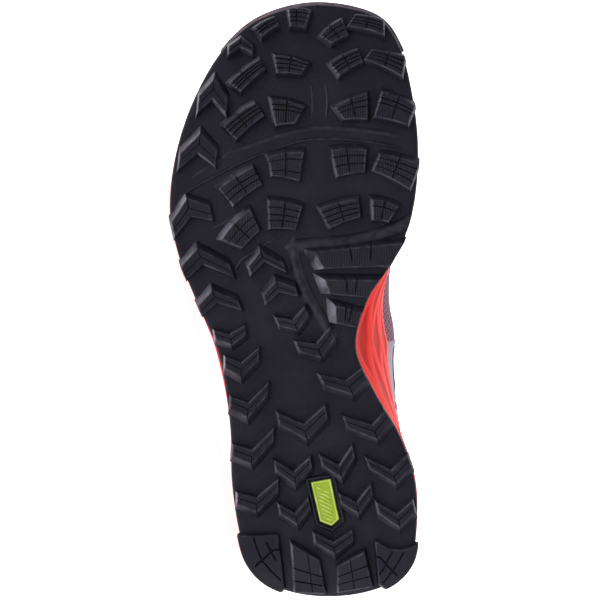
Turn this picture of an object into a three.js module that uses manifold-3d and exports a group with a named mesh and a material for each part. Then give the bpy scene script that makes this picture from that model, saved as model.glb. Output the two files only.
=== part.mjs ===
import * as THREE from 'three';
import { mergeVertices } from 'three/addons/utils/BufferGeometryUtils.js';
import { ConvexHull } from 'three/addons/math/ConvexHull.js';
import Module from 'manifold-3d';

const wasm = await Module();
wasm.setup();

// A right trail running shoe in its own frame: +X to the outer side, +Y from heel to toe, +Z up.
// All lengths are in millimetres. Shares of a named size are written as fractions of it.

// Driving dimensions
const soleLength = 280;
const soleWidth = 114;
const upperHeight = 67;
const heelStack = 28;
const forefootStack = 20;
const toeSpring = 20;
const heelBevel = 6;
const archRise = 2.5;

// Sole
const lugHeight = 4;
const sheetThickness = 2;
const fitGap = 0.3;
const rimHeight = 6;
const rimWidth = 3;
const rimStep = 1;
const wallRibDepth = 0.9;

// Upper
const wall = 2;
const collarPad = 3;
const overlayThickness = 1.2;
const overlayGap = 0.4;
const bumperThickness = 1.8;
const insoleThickness = 4;
const insoleLip = 3;
const insoleLipWidth = 6;
const insoleEdge = 1.5;
const insoleBevel = 1;
const tongueThickness = 5;
const throatMargin = 1.2;

// Lacing
const eyeletRows = 6;
const eyeletRadius = 2.3;
const eyeletInset = 7;
const eyestayWidth = 14;
const laceWidth = 6;
const laceThickness = 1.4;
const laceSpring = 0.7;
const laceCrossLift = 0.6;

// Fineness of the surfaces
const aroundSteps = 64;
const eyeletSides = 6;
const weldDistance = 1e-4;

const up = new THREE.Vector3(0, 0, 1);

// Outline of the tread, heel to toe, in shares of length and width
const outlineRows = [
  { at: 0.013, lateral: 0.100, medial: -0.190 },
  { at: 0.033, lateral: 0.212, medial: -0.308 },
  { at: 0.068, lateral: 0.284, medial: -0.378 },
  { at: 0.120, lateral: 0.321, medial: -0.400 },
  { at: 0.201, lateral: 0.349, medial: -0.394 },
  { at: 0.275, lateral: 0.353, medial: -0.333 },
  { at: 0.349, lateral: 0.373, medial: -0.228 },
  { at: 0.420, lateral: 0.412, medial: -0.156 },
  { at: 0.498, lateral: 0.495, medial: -0.203 },
  { at: 0.572, lateral: 0.565, medial: -0.320 },
  { at: 0.647, lateral: 0.600, medial: -0.386 },
  { at: 0.746, lateral: 0.572, medial: -0.407 },
  { at: 0.839, lateral: 0.493, medial: -0.384 },
  { at: 0.916, lateral: 0.376, medial: -0.334 },
  { at: 0.963, lateral: 0.235, medial: -0.250 },
];
const heelTip = { at: 0.006, side: -0.04 };
const toeTip = { at: 0.987, side: 0 };

// How far the midsole's rim stands outside the tread's edge, in shares of width
const rimFlareRows = [
  { at: 0.000, lateral: -0.010, medial: -0.010 },
  { at: 0.120, lateral: -0.015, medial: 0.004 },
  { at: 0.201, lateral: -0.015, medial: 0.006 },
  { at: 0.275, lateral: -0.005, medial: 0.024 },
  { at: 0.349, lateral: 0.018, medial: 0.090 },
  { at: 0.420, lateral: 0.020, medial: 0.145 },
  { at: 0.498, lateral: 0.000, medial: 0.085 },
  { at: 0.572, lateral: -0.025, medial: -0.010 },
  { at: 0.647, lateral: -0.032, medial: -0.030 },
  { at: 0.839, lateral: -0.025, medial: -0.025 },
  { at: 0.916, lateral: 0.000, medial: -0.010 },
  { at: 1.000, lateral: 0.028, medial: 0.028 },
];

// Side wall of the midsole from the tread to the rim: share of its height, share of the flare, and its ribs
const wallRows = [
  { up: 0.00, flare: 0.00, rib: 0.0 },
  { up: 0.14, flare: 0.20, rib: 0.8 },
  { up: 0.32, flare: 0.48, rib: -0.8 },
  { up: 0.48, flare: 0.66, rib: 0.8 },
  { up: 0.66, flare: 0.82, rib: -0.8 },
  { up: 0.86, flare: 0.95, rib: 0.7 },
  { up: 1.00, flare: 1.00, rib: 0.0 },
];

// Widest line of the upper above the rim: how far out of its foot, and how high above the footbed
const bulgeRows = [
  { at: 0.00, lateralOut: 0.022, medialOut: 0.022, height: 0.30 },
  { at: 0.15, lateralOut: 0.022, medialOut: 0.024, height: 0.29 },
  { at: 0.275, lateralOut: 0.024, medialOut: 0.040, height: 0.30 },
  { at: 0.42, lateralOut: 0.020, medialOut: 0.062, height: 0.33 },
  { at: 0.572, lateralOut: 0.016, medialOut: 0.030, height: 0.31 },
  { at: 0.746, lateralOut: 0.014, medialOut: 0.014, height: 0.27 },
  { at: 0.916, lateralOut: 0.012, medialOut: 0.012, height: 0.24 },
  { at: 1.00, lateralOut: 0.012, medialOut: 0.012, height: 0.22 },
];

// Top edge of the upper, from the back of the collar to the front of the throat. at is the place on the outline
// that each rib climbs from, end its place along the length, lateral and medial its side, rise its height,
// lean the slope there in degrees, low and high the reach of the rib's handles
const toplineRows = [
  { at: 0.00, end: 0.026, lateral: -0.028, medial: -0.028, rise: 1.000, lean: 97, low: 0.34, high: 0.40 },
  { at: 0.03, end: 0.040, lateral: 0.110, medial: -0.166, rise: 0.985, lean: 96, low: 0.34, high: 0.40 },
  { at: 0.08, end: 0.090, lateral: 0.198, medial: -0.254, rise: 0.880, lean: 93, low: 0.35, high: 0.38 },
  { at: 0.15, end: 0.160, lateral: 0.238, medial: -0.286, rise: 0.745, lean: 90, low: 0.36, high: 0.36 },
  { at: 0.25, end: 0.257, lateral: 0.256, medial: -0.292, rise: 0.665, lean: 88, low: 0.36, high: 0.36 },
  { at: 0.35, end: 0.346, lateral: 0.260, medial: -0.272, rise: 0.730, lean: 78, low: 0.38, high: 0.36 },
  { at: 0.42, end: 0.410, lateral: 0.240, medial: -0.232, rise: 0.890, lean: 64, low: 0.38, high: 0.36 },
  { at: 0.47, end: 0.453, lateral: 0.214, medial: -0.198, rise: 0.985, lean: 54, low: 0.37, high: 0.36 },
  { at: 0.55, end: 0.503, lateral: 0.186, medial: -0.158, rise: 0.920, lean: 46, low: 0.35, high: 0.36 },
  { at: 0.65, end: 0.560, lateral: 0.160, medial: -0.122, rise: 0.800, lean: 38, low: 0.32, high: 0.38 },
  { at: 0.75, end: 0.611, lateral: 0.138, medial: -0.092, rise: 0.700, lean: 30, low: 0.28, high: 0.40 },
  { at: 0.87, end: 0.648, lateral: 0.106, medial: -0.052, rise: 0.625, lean: 22, low: 0.24, high: 0.44 },
  { at: 1.00, end: 0.664, lateral: 0.028, medial: 0.028, rise: 0.600, lean: 14, low: 0.20, high: 0.48 },
];

// Share of the collar pad's thickness
const padRows = [
  { at: 0.00, pad: 1 },
  { at: 0.25, pad: 1 },
  { at: 0.35, pad: 1 },
  { at: 0.42, pad: 0.6 },
  { at: 0.47, pad: 0.2 },
  { at: 0.55, pad: 0 },
  { at: 0.65, pad: 0 },
  { at: 1.00, pad: 0 },
];

// Rows of points up a rib of the upper: 0 at the footbed, 1 at the top edge
const ribSteps = [0, 0.12, 0.16, 0.25, 0.34, 0.44, 0.54, 0.64, 0.74, 0.84, 0.93, 1];
const ribRimShare = 0.12;
const ribBulgeShare = 0.34;

// Tongue from under the toe box to its free end: centre line, half width, fall of its edges, share of thickness
const tongueRows = [
  { station: 0.715, side: 0.032, height: 0.512, half: 0.105, fall: 0.012, full: 0.5 },
  { station: 0.660, side: 0.030, height: 0.566, half: 0.170, fall: 0.040, full: 0.6 },
  { station: 0.610, side: 0.026, height: 0.680, half: 0.225, fall: 0.085, full: 0.7 },
  { station: 0.560, side: 0.020, height: 0.830, half: 0.235, fall: 0.115, full: 0.8 },
  { station: 0.510, side: 0.014, height: 0.975, half: 0.215, fall: 0.110, full: 0.9 },
  { station: 0.460, side: 0.008, height: 1.105, half: 0.170, fall: 0.080, full: 1.0 },
  { station: 0.415, side: 0.002, height: 1.215, half: 0.168, fall: 0.080, full: 1.3 },
  { station: 0.380, side: -0.002, height: 1.345, half: 0.164, fall: 0.072, full: 1.5 },
  { station: 0.358, side: -0.004, height: 1.435, half: 0.130, fall: 0.050, full: 1.1 },
];
const tongueAcross = [-1, -0.8, -0.55, -0.28, 0, 0.28, 0.55, 0.8, 1];

// Wedge blocks of the tread. Place and size are shares of length and width, turn is in degrees: a positive turn
// moves the outer end toward the toe. front and rear are the widths of the toe and heel edges, outer and inner
// the depths of the two ends. Their long ramp faces the toe
const blockRows = [
  { at: 0.966, side: 0.079, turn: 4, front: 0.103, rear: 0.070, outer: 0.088, inner: 0.090 },
  { at: 0.955, side: 0.194, turn: -34, front: 0.112, rear: 0.096, outer: 0.054, inner: 0.046 },
  { at: 0.944, side: -0.067, turn: -36, front: 0.139, rear: 0.084, outer: 0.066, inner: 0.087 },
  { at: 0.953, side: -0.205, turn: 14, front: 0.120, rear: 0.165, outer: 0.076, inner: 0.080 },
  { at: 0.868, side: 0.283, turn: -41, front: 0.173, rear: 0.145, outer: 0.077, inner: 0.064 },
  { at: 0.883, side: 0.097, turn: 9, front: 0.161, rear: 0.103, outer: 0.094, inner: 0.072 },
  { at: 0.889, side: -0.117, turn: -30, front: 0.142, rear: 0.122, outer: 0.082, inner: 0.077 },
  { at: 0.892, side: -0.278, turn: 20, front: 0.140, rear: 0.180, outer: 0.066, inner: 0.098 },
  { at: 0.799, side: 0.296, turn: -39, front: 0.167, rear: 0.152, outer: 0.079, inner: 0.060 },
  { at: 0.806, side: 0.105, turn: 5, front: 0.156, rear: 0.085, outer: 0.130, inner: 0.091 },
  { at: 0.814, side: -0.133, turn: -14, front: 0.158, rear: 0.101, outer: 0.075, inner: 0.124 },
  { at: 0.812, side: -0.312, turn: 19, front: 0.152, rear: 0.150, outer: 0.128, inner: 0.100 },
  { at: 0.691, side: 0.318, turn: -34, front: 0.177, rear: 0.152, outer: 0.110, inner: 0.093 },
  { at: 0.720, side: 0.122, turn: 0, front: 0.160, rear: 0.117, outer: 0.094, inner: 0.138 },
  { at: 0.728, side: -0.114, turn: -5, front: 0.154, rear: 0.120, outer: 0.130, inner: 0.108 },
  { at: 0.714, side: -0.314, turn: 21, front: 0.170, rear: 0.180, outer: 0.089, inner: 0.130 },
  { at: 0.611, side: 0.305, turn: -46, front: 0.190, rear: 0.108, outer: 0.108, inner: 0.110 },
  { at: 0.637, side: 0.138, turn: 7, front: 0.151, rear: 0.113, outer: 0.134, inner: 0.115 },
  { at: 0.642, side: -0.095, turn: -17, front: 0.176, rear: 0.140, outer: 0.108, inner: 0.091 },
  { at: 0.644, side: -0.262, turn: 13, front: 0.128, rear: 0.070, outer: 0.105, inner: 0.089 },
  { at: 0.570, side: -0.135, turn: -4, front: 0.360, rear: 0.262, outer: 0.086, inner: 0.104 },
  { at: 0.520, side: -0.112, turn: 3, front: 0.232, rear: 0.156, outer: 0.072, inner: 0.088 },
  { at: 0.472, side: -0.104, turn: 14, front: 0.136, rear: 0.070, outer: 0.088, inner: 0.076 },
];

// Blocks at the back of the heel, whose long ramp faces the heel
const heelBlockRows = [
  { at: 0.076, side: 0.214, turn: 14, front: 0.150, rear: 0.132, outer: 0.160, inner: 0.190 },
  { at: 0.048, side: 0.042, turn: 15, front: 0.149, rear: 0.146, outer: 0.180, inner: 0.125 },
  { at: 0.045, side: -0.135, turn: -22, front: 0.138, rear: 0.140, outer: 0.093, inner: 0.150 },
  { at: 0.064, side: -0.300, turn: -4, front: 0.146, rear: 0.092, outer: 0.140, inner: 0.120 },
];

// Arrow lugs. at and side place the point of the arrow. outer and inner say how far from it, sideways and along
// the shoe, the middle of each arm's end lies, in shares of width. depth is its length from point to notch
const arrowRows = [
  { at: 0.930, side: 0.314, outer: [0.050, -0.058], inner: [-0.048, -0.050], depth: 0.045 },
  { at: 0.863, side: 0.420, outer: [0.066, -0.108], inner: [-0.050, -0.112], depth: 0.085 },
  { at: 0.773, side: 0.474, outer: [0.088, -0.118], inner: [-0.062, -0.104], depth: 0.085 },
  { at: 0.666, side: 0.530, outer: [0.056, -0.130], inner: [-0.098, -0.062], depth: 0.078 },
  { at: 0.584, side: 0.486, outer: [0.066, -0.112], inner: [-0.138, -0.094], depth: 0.072 },
  { at: 0.515, side: 0.428, outer: [0.050, -0.088], inner: [-0.112, -0.064], depth: 0.058 },
  { at: 0.592, side: 0.222, outer: [0.053, -0.109], inner: [-0.109, -0.077], depth: 0.056 },
  { at: 0.530, side: 0.170, outer: [0.046, -0.078], inner: [-0.084, -0.046], depth: 0.050 },
  { at: 0.447, side: 0.081, outer: [0.086, 0.040], inner: [-0.034, 0.082], depth: 0.050 },
  { at: 0.403, side: -0.016, outer: [0.101, 0.046], inner: [-0.042, 0.101], depth: 0.062 },
  { at: 0.342, side: -0.142, outer: [0.130, 0.063], inner: [-0.055, 0.092], depth: 0.066 },
  { at: 0.268, side: 0.044, outer: [0.117, 0.089], inner: [-0.077, 0.113], depth: 0.066 },
  { at: 0.268, side: -0.243, outer: [0.136, 0.075], inner: [-0.062, 0.126], depth: 0.066 },
  { at: 0.194, side: 0.089, outer: [0.085, 0.081], inner: [-0.061, 0.093], depth: 0.056 },
  { at: 0.205, side: -0.097, outer: [0.085, 0.073], inner: [-0.045, 0.110], depth: 0.056 },
  { at: 0.195, side: -0.318, outer: [0.120, 0.089], inner: [-0.052, 0.097], depth: 0.062 },
  { at: 0.128, side: 0.081, outer: [0.077, 0.069], inner: [-0.045, 0.089], depth: 0.052 },
  { at: 0.146, side: -0.166, outer: [0.077, 0.065], inner: [-0.050, 0.102], depth: 0.052 },
  { at: 0.123, side: -0.332, outer: [0.093, 0.085], inner: [-0.055, 0.089], depth: 0.060 },
  { at: 0.080, side: -0.069, outer: [0.085, 0.070], inner: [-0.070, 0.078], depth: 0.052 },
  { at: 0.423, side: 0.348, outer: [0.072, 0.045], inner: [-0.054, 0.064], depth: 0.048 },
  { at: 0.370, side: 0.310, outer: [0.068, 0.065], inner: [-0.070, 0.098], depth: 0.062 },
  { at: 0.304, side: 0.284, outer: [0.070, 0.065], inner: [-0.081, 0.118], depth: 0.062 },
  { at: 0.227, side: 0.268, outer: [0.078, 0.061], inner: [-0.088, 0.122], depth: 0.062 },
  { at: 0.149, side: 0.246, outer: [0.082, 0.057], inner: [-0.085, 0.110], depth: 0.062 },
];

// Slope of a lug's faces: how far each runs out at its foot
const lugDraft = 0.9;
const lugRamp = 3;
const lugSteep = 0.5;
const arrowEndShare = 0.8;

// Corners of the inlaid badge, in shares of length and width
const badgeRows = [
  { at: 0.199, side: 0.028 },
  { at: 0.204, side: -0.053 },
  { at: 0.141, side: -0.089 },
  { at: 0.128, side: -0.057 },
  { at: 0.135, side: -0.008 },
];
const badgeFrameWidth = 1.6;
const badgeFrameHeight = 2;
const badgeSink = 0.7;
const badgePocket = 1;
const badgeBevel = 0.5;

// Where each overlay runs round the upper, as stations on the two sides
const bumperFrom = 0.905;
const counterTo = 0.235;
const eyestayFrom = 0.455;

// How far up the ribs the overlays reach, in shares of a rib
const bumperFoot = 0.16;
const bumperTop = 0.42;
const bumperFall = 0.2;
const counterFoot = 0.16;
const counterTop = 0.66;
const counterFall = 0.3;

// Interpolation

function smooth(share) {
  const t = THREE.MathUtils.clamp(share, 0, 1);
  return t * t * (3 - 2 * t);
}

// Smooth value between the rows of an open table, by its key column
function along(rows, key, column, value) {
  let next = rows.findIndex((row) => row[key] > value);
  if (next === -1) next = rows.length - 1;
  next = Math.max(next, 1);
  const from = rows[next - 1];
  const to = rows[next];
  const share = THREE.MathUtils.clamp((value - from[key]) / (to[key] - from[key]), 0, 1);
  const slopeAt = (index) => {
    const before = rows[Math.max(index - 1, 0)];
    const after = rows[Math.min(index + 1, rows.length - 1)];
    return (after[column] - before[column]) / (after[key] - before[key]);
  };
  const span = to[key] - from[key];
  const startSlope = slopeAt(next - 1) * span;
  const endSlope = slopeAt(next) * span;
  const square = share * share;
  const cube = square * share;
  return (2 * cube - 3 * square + 1) * from[column] + (cube - 2 * square + share) * startSlope
    + (3 * square - 2 * cube) * to[column] + (cube - square) * endSlope;
}

// Places round the shoe run from 0 at the heel tip over the outer side to 0.5 at the toe tip and back to 1
const outlineStations = [heelTip.at, ...outlineRows.map((row) => row.at), toeTip.at];
const halfCount = outlineStations.length - 1;

function aroundOf(at, side) {
  const last = outlineStations.findIndex((station) => station >= at);
  const next = last === -1 ? halfCount : Math.max(last, 1);
  const from = outlineStations[next - 1];
  const share = THREE.MathUtils.clamp((at - from) / (outlineStations[next] - from), 0, 1);
  const half = (next - 1 + share) / halfCount / 2;
  return side === 'medial' ? 1 - half : half;
}

// A table with an outer and an inner column becomes one smooth value round the shoe
function roundTable(rows, lateralColumn, medialColumn) {
  const placed = (some, side, column) => some.map((row) => (
    { around: aroundOf(row.at, side), value: row[column] }));
  const lateral = placed(rows, 'lateral', lateralColumn);
  const medial = placed(rows.slice(1, -1), 'medial', medialColumn);
  const ring = [...lateral, ...medial.reverse()];
  const closed = [
    ...ring.slice(-2).map((row) => ({ ...row, around: row.around - 1 })),
    ...ring,
    ...ring.slice(0, 3).map((row) => ({ ...row, around: row.around + 1 })),
  ];
  return (around) => along(closed, 'around', 'value', around - Math.floor(around));
}

const rimFlare = roundTable(rimFlareRows, 'lateral', 'medial');
const bulgeOut = roundTable(bulgeRows, 'lateralOut', 'medialOut');
const bulgeHeight = roundTable(bulgeRows, 'height', 'height');
const topStation = roundTable(toplineRows, 'end', 'end');
const topSide = roundTable(toplineRows, 'lateral', 'medial');
const topRise = roundTable(toplineRows, 'rise', 'rise');
const topLean = roundTable(toplineRows, 'lean', 'lean');
const lowHandle = roundTable(toplineRows, 'low', 'low');
const highHandle = roundTable(toplineRows, 'high', 'high');
const padShare = roundTable(padRows, 'pad', 'pad');

// Outline and heights of the sole

const outlineCurve = new THREE.CatmullRomCurve3(
  [
    new THREE.Vector3(heelTip.side * soleWidth, heelTip.at * soleLength, 0),
    ...outlineRows.map((row) => new THREE.Vector3(row.lateral * soleWidth, row.at * soleLength, 0)),
    new THREE.Vector3(toeTip.side * soleWidth, toeTip.at * soleLength, 0),
    ...outlineRows.toReversed().map((row) => new THREE.Vector3(row.medial * soleWidth, row.at * soleLength, 0)),
  ],
  true,
);

function outlinePoint(around) {
  return outlineCurve.getPoint(around - Math.floor(around));
}

function outlineNormal(around) {
  const step = 1 / aroundSteps;
  const run = outlinePoint(around + step).sub(outlinePoint(around - step));
  return new THREE.Vector3(run.y, -run.x, 0).normalize();
}

const springFrom = 0.73;
const bevelTo = 0.1;
const archFrom = 0.3;
const archTo = 0.56;

// Height of the lug tips above the ground
function groundRise(y) {
  const at = y / soleLength;
  const spring = toeSpring * Math.max((at - springFrom) / (1 - springFrom), 0) ** 2;
  const bevel = heelBevel * Math.max((bevelTo - at) / bevelTo, 0) ** 2;
  const archShare = THREE.MathUtils.clamp((at - archFrom) / (archTo - archFrom), 0, 1);
  return spring + bevel + archRise * Math.sin(Math.PI * archShare) ** 2;
}

const footbedToeShare = 0.75;
const stackFrom = 0.28;
const stackTo = 0.64;

function footbedHeight(y) {
  const at = y / soleLength;
  const drop = (heelStack - forefootStack) * smooth((at - stackFrom) / (stackTo - stackFrom));
  const spring = toeSpring * Math.max((at - springFrom) / (1 - springFrom), 0) ** 2;
  return heelStack - drop + footbedToeShare * spring;
}

// Mesh building

function geometryOfFaces(faces) {
  const whole = faces.filter(([a, b, c]) => a.distanceTo(b) > weldDistance && b.distanceTo(c) > weldDistance
    && c.distanceTo(a) > weldDistance);
  const geometry = new THREE.BufferGeometry().setFromPoints(whole.flat());
  return mergeVertices(geometry, weldDistance);
}

function solidOf(geometry) {
  const bare = geometry.clone();
  bare.deleteAttribute('normal');
  bare.deleteAttribute('uv');
  const merged = mergeVertices(bare, weldDistance);
  return new wasm.Manifold(new wasm.Mesh({
    numProp: 3,
    vertProperties: Float32Array.from(merged.attributes.position.array),
    triVerts: Uint32Array.from(merged.index.array),
  }));
}

function geometryOfSolid(solid) {
  const mesh = solid.getMesh();
  const geometry = new THREE.BufferGeometry();
  geometry.setAttribute('position', new THREE.BufferAttribute(Float32Array.from(mesh.vertProperties), 3));
  geometry.setIndex([...mesh.triVerts]);
  return geometry;
}

function quad(a, b, c, d) {
  return [[a, b, c], [a, c, d]];
}

// Faces of a ring that runs round the shoe, each place on one side joined to the same place on the other
function capFaces(ring, facesUp) {
  const faces = [];
  const count = ring.length;
  for (let index = 0; index < count / 2; index += 1) {
    const back = (count - index) % count;
    const corners = [ring[index], ring[index + 1], ring[count - index - 1], ring[back]];
    faces.push(...quad(...(facesUp ? corners : corners.reverse())));
  }
  return faces;
}

// Solid between rings stacked from below, the first and the last closed across
function stackedRings(rings) {
  const faces = [...capFaces(rings[0], false), ...capFaces(rings.at(-1), true)];
  for (let level = 0; level + 1 < rings.length; level += 1) {
    const low = rings[level];
    const high = rings[level + 1];
    low.forEach((point, index) => {
      const next = (index + 1) % low.length;
      faces.push(...quad(point, low[next], high[next], high[index]));
    });
  }
  return geometryOfFaces(faces);
}

// Solid between an outer and an inner sheet of points, columns running round and rows up. A closed sheet joins
// its last column to its first
function thickSheet(outer, inner, closed) {
  const faces = [];
  const columns = outer.length;
  const last = closed ? columns : columns - 1;
  const top = outer[0].length - 1;
  for (let column = 0; column < last; column += 1) {
    const next = (column + 1) % columns;
    for (let row = 0; row < top; row += 1) {
      faces.push(...quad(outer[column][row], outer[next][row], outer[next][row + 1], outer[column][row + 1]));
      faces.push(...quad(inner[column][row], inner[column][row + 1], inner[next][row + 1], inner[next][row]));
    }
    faces.push(...quad(outer[column][0], inner[column][0], inner[next][0], outer[next][0]));
    faces.push(...quad(outer[column][top], outer[next][top], inner[next][top], inner[column][top]));
  }
  if (!closed) {
    const end = columns - 1;
    for (let row = 0; row < top; row += 1) {
      faces.push(...quad(outer[0][row], outer[0][row + 1], inner[0][row + 1], inner[0][row]));
      faces.push(...quad(outer[end][row], inner[end][row], inner[end][row + 1], outer[end][row + 1]));
    }
  }
  return geometryOfFaces(faces);
}

// Moves each edge of a polygon out by its own distance
function grownPolygon(points, distances) {
  const lines = points.map((point, index) => {
    const next = points[(index + 1) % points.length];
    const run = next.clone().sub(point).normalize();
    const out = new THREE.Vector2(run.y, -run.x);
    return { start: point.clone().addScaledVector(out, distances[index % distances.length]), run };
  });
  return lines.map((line, index) => {
    const before = lines[(index + lines.length - 1) % lines.length];
    const cross = before.run.cross(line.run);
    const gap = line.start.clone().sub(before.start);
    return before.start.clone().addScaledVector(before.run, gap.cross(line.run) / cross);
  });
}

// Solid from a lower to an upper polygon with as many corners, both counter-clockwise from above
function frustum(lower, upper, lowHeight, highHeight) {
  const low = lower.map((point) => new THREE.Vector3(point.x, point.y, lowHeight));
  const high = upper.map((point) => new THREE.Vector3(point.x, point.y, highHeight));
  const faces = [];
  for (const [a, b, c] of THREE.ShapeUtils.triangulateShape(lower, [])) {
    faces.push([low[c], low[b], low[a]], [high[a], high[b], high[c]]);
  }
  low.forEach((point, index) => {
    const next = (index + 1) % low.length;
    faces.push(...quad(point, low[next], high[next], high[index]));
  });
  return geometryOfFaces(faces);
}

function ringAt(place) {
  return Array.from({ length: aroundSteps }, (_, index) => place(index / aroundSteps));
}

// Outsole

const sheetFrom = lugHeight;
const sheetTo = lugHeight + sheetThickness;
const sheetChamfer = 0.8;
const lugOverhang = 0.7;
const lugRoot = 0.4 * sheetThickness;

function sheetRing(inset, height) {
  return ringAt((around) => {
    const point = outlinePoint(around).addScaledVector(outlineNormal(around), -inset);
    return point.setZ(groundRise(point.y) + height);
  });
}

// Lugs end a little outside the sheet's edge
function trimRing(height) {
  return ringAt((around) => (
    outlinePoint(around).addScaledVector(outlineNormal(around), lugOverhang).setZ(height)));
}

// A lug is built upright on the ground and then tipped onto the rising ground of toe and heel
function lugSolid(tip, slopes, height) {
  const center = tip.reduce((sum, point) => sum.add(point), new THREE.Vector2()).divideScalar(tip.length);
  const local = tip.map((point) => point.clone().sub(center));
  const geometry = frustum(local, grownPolygon(local, slopes), 0, height);
  const step = 1;
  const slope = (groundRise(center.y + step) - groundRise(center.y - step)) / (2 * step);
  geometry.rotateX(Math.atan(slope));
  geometry.translate(center.x, center.y, groundRise(center.y));
  return solidOf(geometry);
}

function blockLug(row, rampAtToe) {
  const turn = THREE.MathUtils.degToRad(row.turn);
  const across = new THREE.Vector2(Math.cos(turn), Math.sin(turn));
  const ahead = new THREE.Vector2(-Math.sin(turn), Math.cos(turn));
  const center = new THREE.Vector2(row.side * soleWidth, row.at * soleLength);
  const corner = (side, width, direction, depth) => center.clone()
    .addScaledVector(across, side * width * soleWidth / 2)
    .addScaledVector(ahead, direction * depth * soleWidth / 2);
  const tip = [
    corner(-1, row.rear, -1, row.inner),
    corner(1, row.rear, -1, row.outer),
    corner(1, row.front, 1, row.outer),
    corner(-1, row.front, 1, row.inner),
  ];
  const heelEdge = rampAtToe ? lugSteep : lugRamp;
  const toeEdge = rampAtToe ? lugRamp : lugSteep;
  const shrunk = grownPolygon(tip, [-heelEdge / 2, -lugDraft / 2, -toeEdge / 2, -lugDraft / 2]);
  return lugSolid(shrunk, [heelEdge, lugDraft, toeEdge, lugDraft], lugHeight + lugRoot);
}

// The arms run from the arrow's point to ends cut along it, and the long ramp follows the point's side
function arrowLug(row) {
  const point = new THREE.Vector2(row.side * soleWidth, row.at * soleLength);
  const armEnd = (offset) => point.clone().addScaledVector(new THREE.Vector2(...offset), soleWidth);
  const outerEnd = armEnd(row.outer);
  const innerEnd = armEnd(row.inner);
  const inward = outerEnd.clone().add(innerEnd).multiplyScalar(0.5).sub(point).normalize();
  const depth = row.depth * soleWidth;
  const endHalf = depth * arrowEndShare / 2;
  const tip = [
    point,
    outerEnd.clone().addScaledVector(inward, -endHalf),
    outerEnd.clone().addScaledVector(inward, endHalf),
    point.clone().addScaledVector(inward, depth),
    innerEnd.clone().addScaledVector(inward, endHalf),
    innerEnd.clone().addScaledVector(inward, -endHalf),
  ];
  if (THREE.ShapeUtils.area(tip) < 0) tip.splice(1, 5, ...tip.slice(1).reverse());
  return lugSolid(tip, [lugRamp, lugDraft, lugSteep, lugSteep, lugDraft, lugRamp], lugHeight + lugRoot);
}

function badgePolygon(growth) {
  const corners = badgeRows.map((row) => new THREE.Vector2(row.side * soleWidth, row.at * soleLength));
  const turning = THREE.ShapeUtils.area(corners) < 0 ? corners.reverse() : corners;
  return grownPolygon(turning, [growth]);
}

function outsoleGeometry() {
  const sheet = solidOf(stackedRings([
    sheetRing(sheetChamfer, sheetFrom),
    sheetRing(0, sheetFrom + sheetChamfer),
    sheetRing(0, sheetTo),
  ]));
  const frameTip = badgePolygon(fitGap + badgeFrameWidth);
  const frameFoot = grownPolygon(frameTip, [lugDraft]);
  const frame = solidOf(frustum(frameTip, frameFoot, sheetFrom - badgeFrameHeight, sheetFrom + lugRoot / 2));
  const lugs = [
    ...blockRows.map((row) => blockLug(row, true)),
    ...heelBlockRows.map((row) => blockLug(row, false)),
    ...arrowRows.map(arrowLug),
  ];
  const pocket = badgePolygon(fitGap);
  const pocketSolid = solidOf(frustum(pocket, pocket, 0, sheetFrom + badgePocket));
  const edge = solidOf(stackedRings([trimRing(-heelBevel), trimRing(toeSpring + sheetTo + lugHeight)]));
  const tread = [frame, ...lugs].reduce((sum, lug) => sum.add(lug)).intersect(edge);
  const whole = sheet.add(tread);
  return geometryOfSolid(whole.subtract(pocketSolid));
}

function badgeGeometry() {
  const face = badgePolygon(0);
  const top = sheetFrom + badgePocket - fitGap;
  const bottom = sheetFrom - badgeFrameHeight + badgeSink;
  const rim = solidOf(frustum(face, face, bottom + badgeBevel, top));
  const bevelled = solidOf(frustum(grownPolygon(face, [-badgeBevel]), face, bottom, bottom + badgeBevel));
  return geometryOfSolid(rim.add(bevelled));
}

// Midsole

const midsoleFrom = sheetTo + fitGap;
const ribsTo = 0.82;
const ribsFade = 0.07;

function rimTop(y) {
  return footbedHeight(y) + rimHeight;
}

// Point on the midsole's side, outward by gap; share runs from 0 at the tread to 1 at the rim
function sidePoint(around, share, gap) {
  const flare = along(wallRows, 'up', 'flare', share) * rimFlare(around) * soleWidth;
  const plainToe = 1 - smooth((outlinePoint(around).y / soleLength - ribsTo) / ribsFade);
  const rib = along(wallRows, 'up', 'rib', share) * wallRibDepth * plainToe;
  const point = outlinePoint(around).addScaledVector(outlineNormal(around), flare + rib + gap);
  const low = groundRise(point.y) + midsoleFrom;
  return point.setZ(THREE.MathUtils.lerp(low, rimTop(point.y), share));
}

// Ring on the footbed's side of the rim
function innerRing(inset, heightAbove) {
  return ringAt((around) => footPoint(around, inset, heightAbove));
}

function footPoint(around, inset, heightAbove) {
  const flare = rimFlare(around) * soleWidth;
  const point = outlinePoint(around).addScaledVector(outlineNormal(around), flare - inset);
  return point.setZ(footbedHeight(point.y) + heightAbove);
}

function midsoleGeometry() {
  const side = wallRows.map((row) => ringAt((around) => sidePoint(around, row.up, 0)));
  return stackedRings([...side, innerRing(rimWidth, rimHeight), innerRing(rimWidth, 0)]);
}

// Upper

const upperInset = rimWidth + fitGap;
const rimClear = rimHeight + rimStep;

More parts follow.
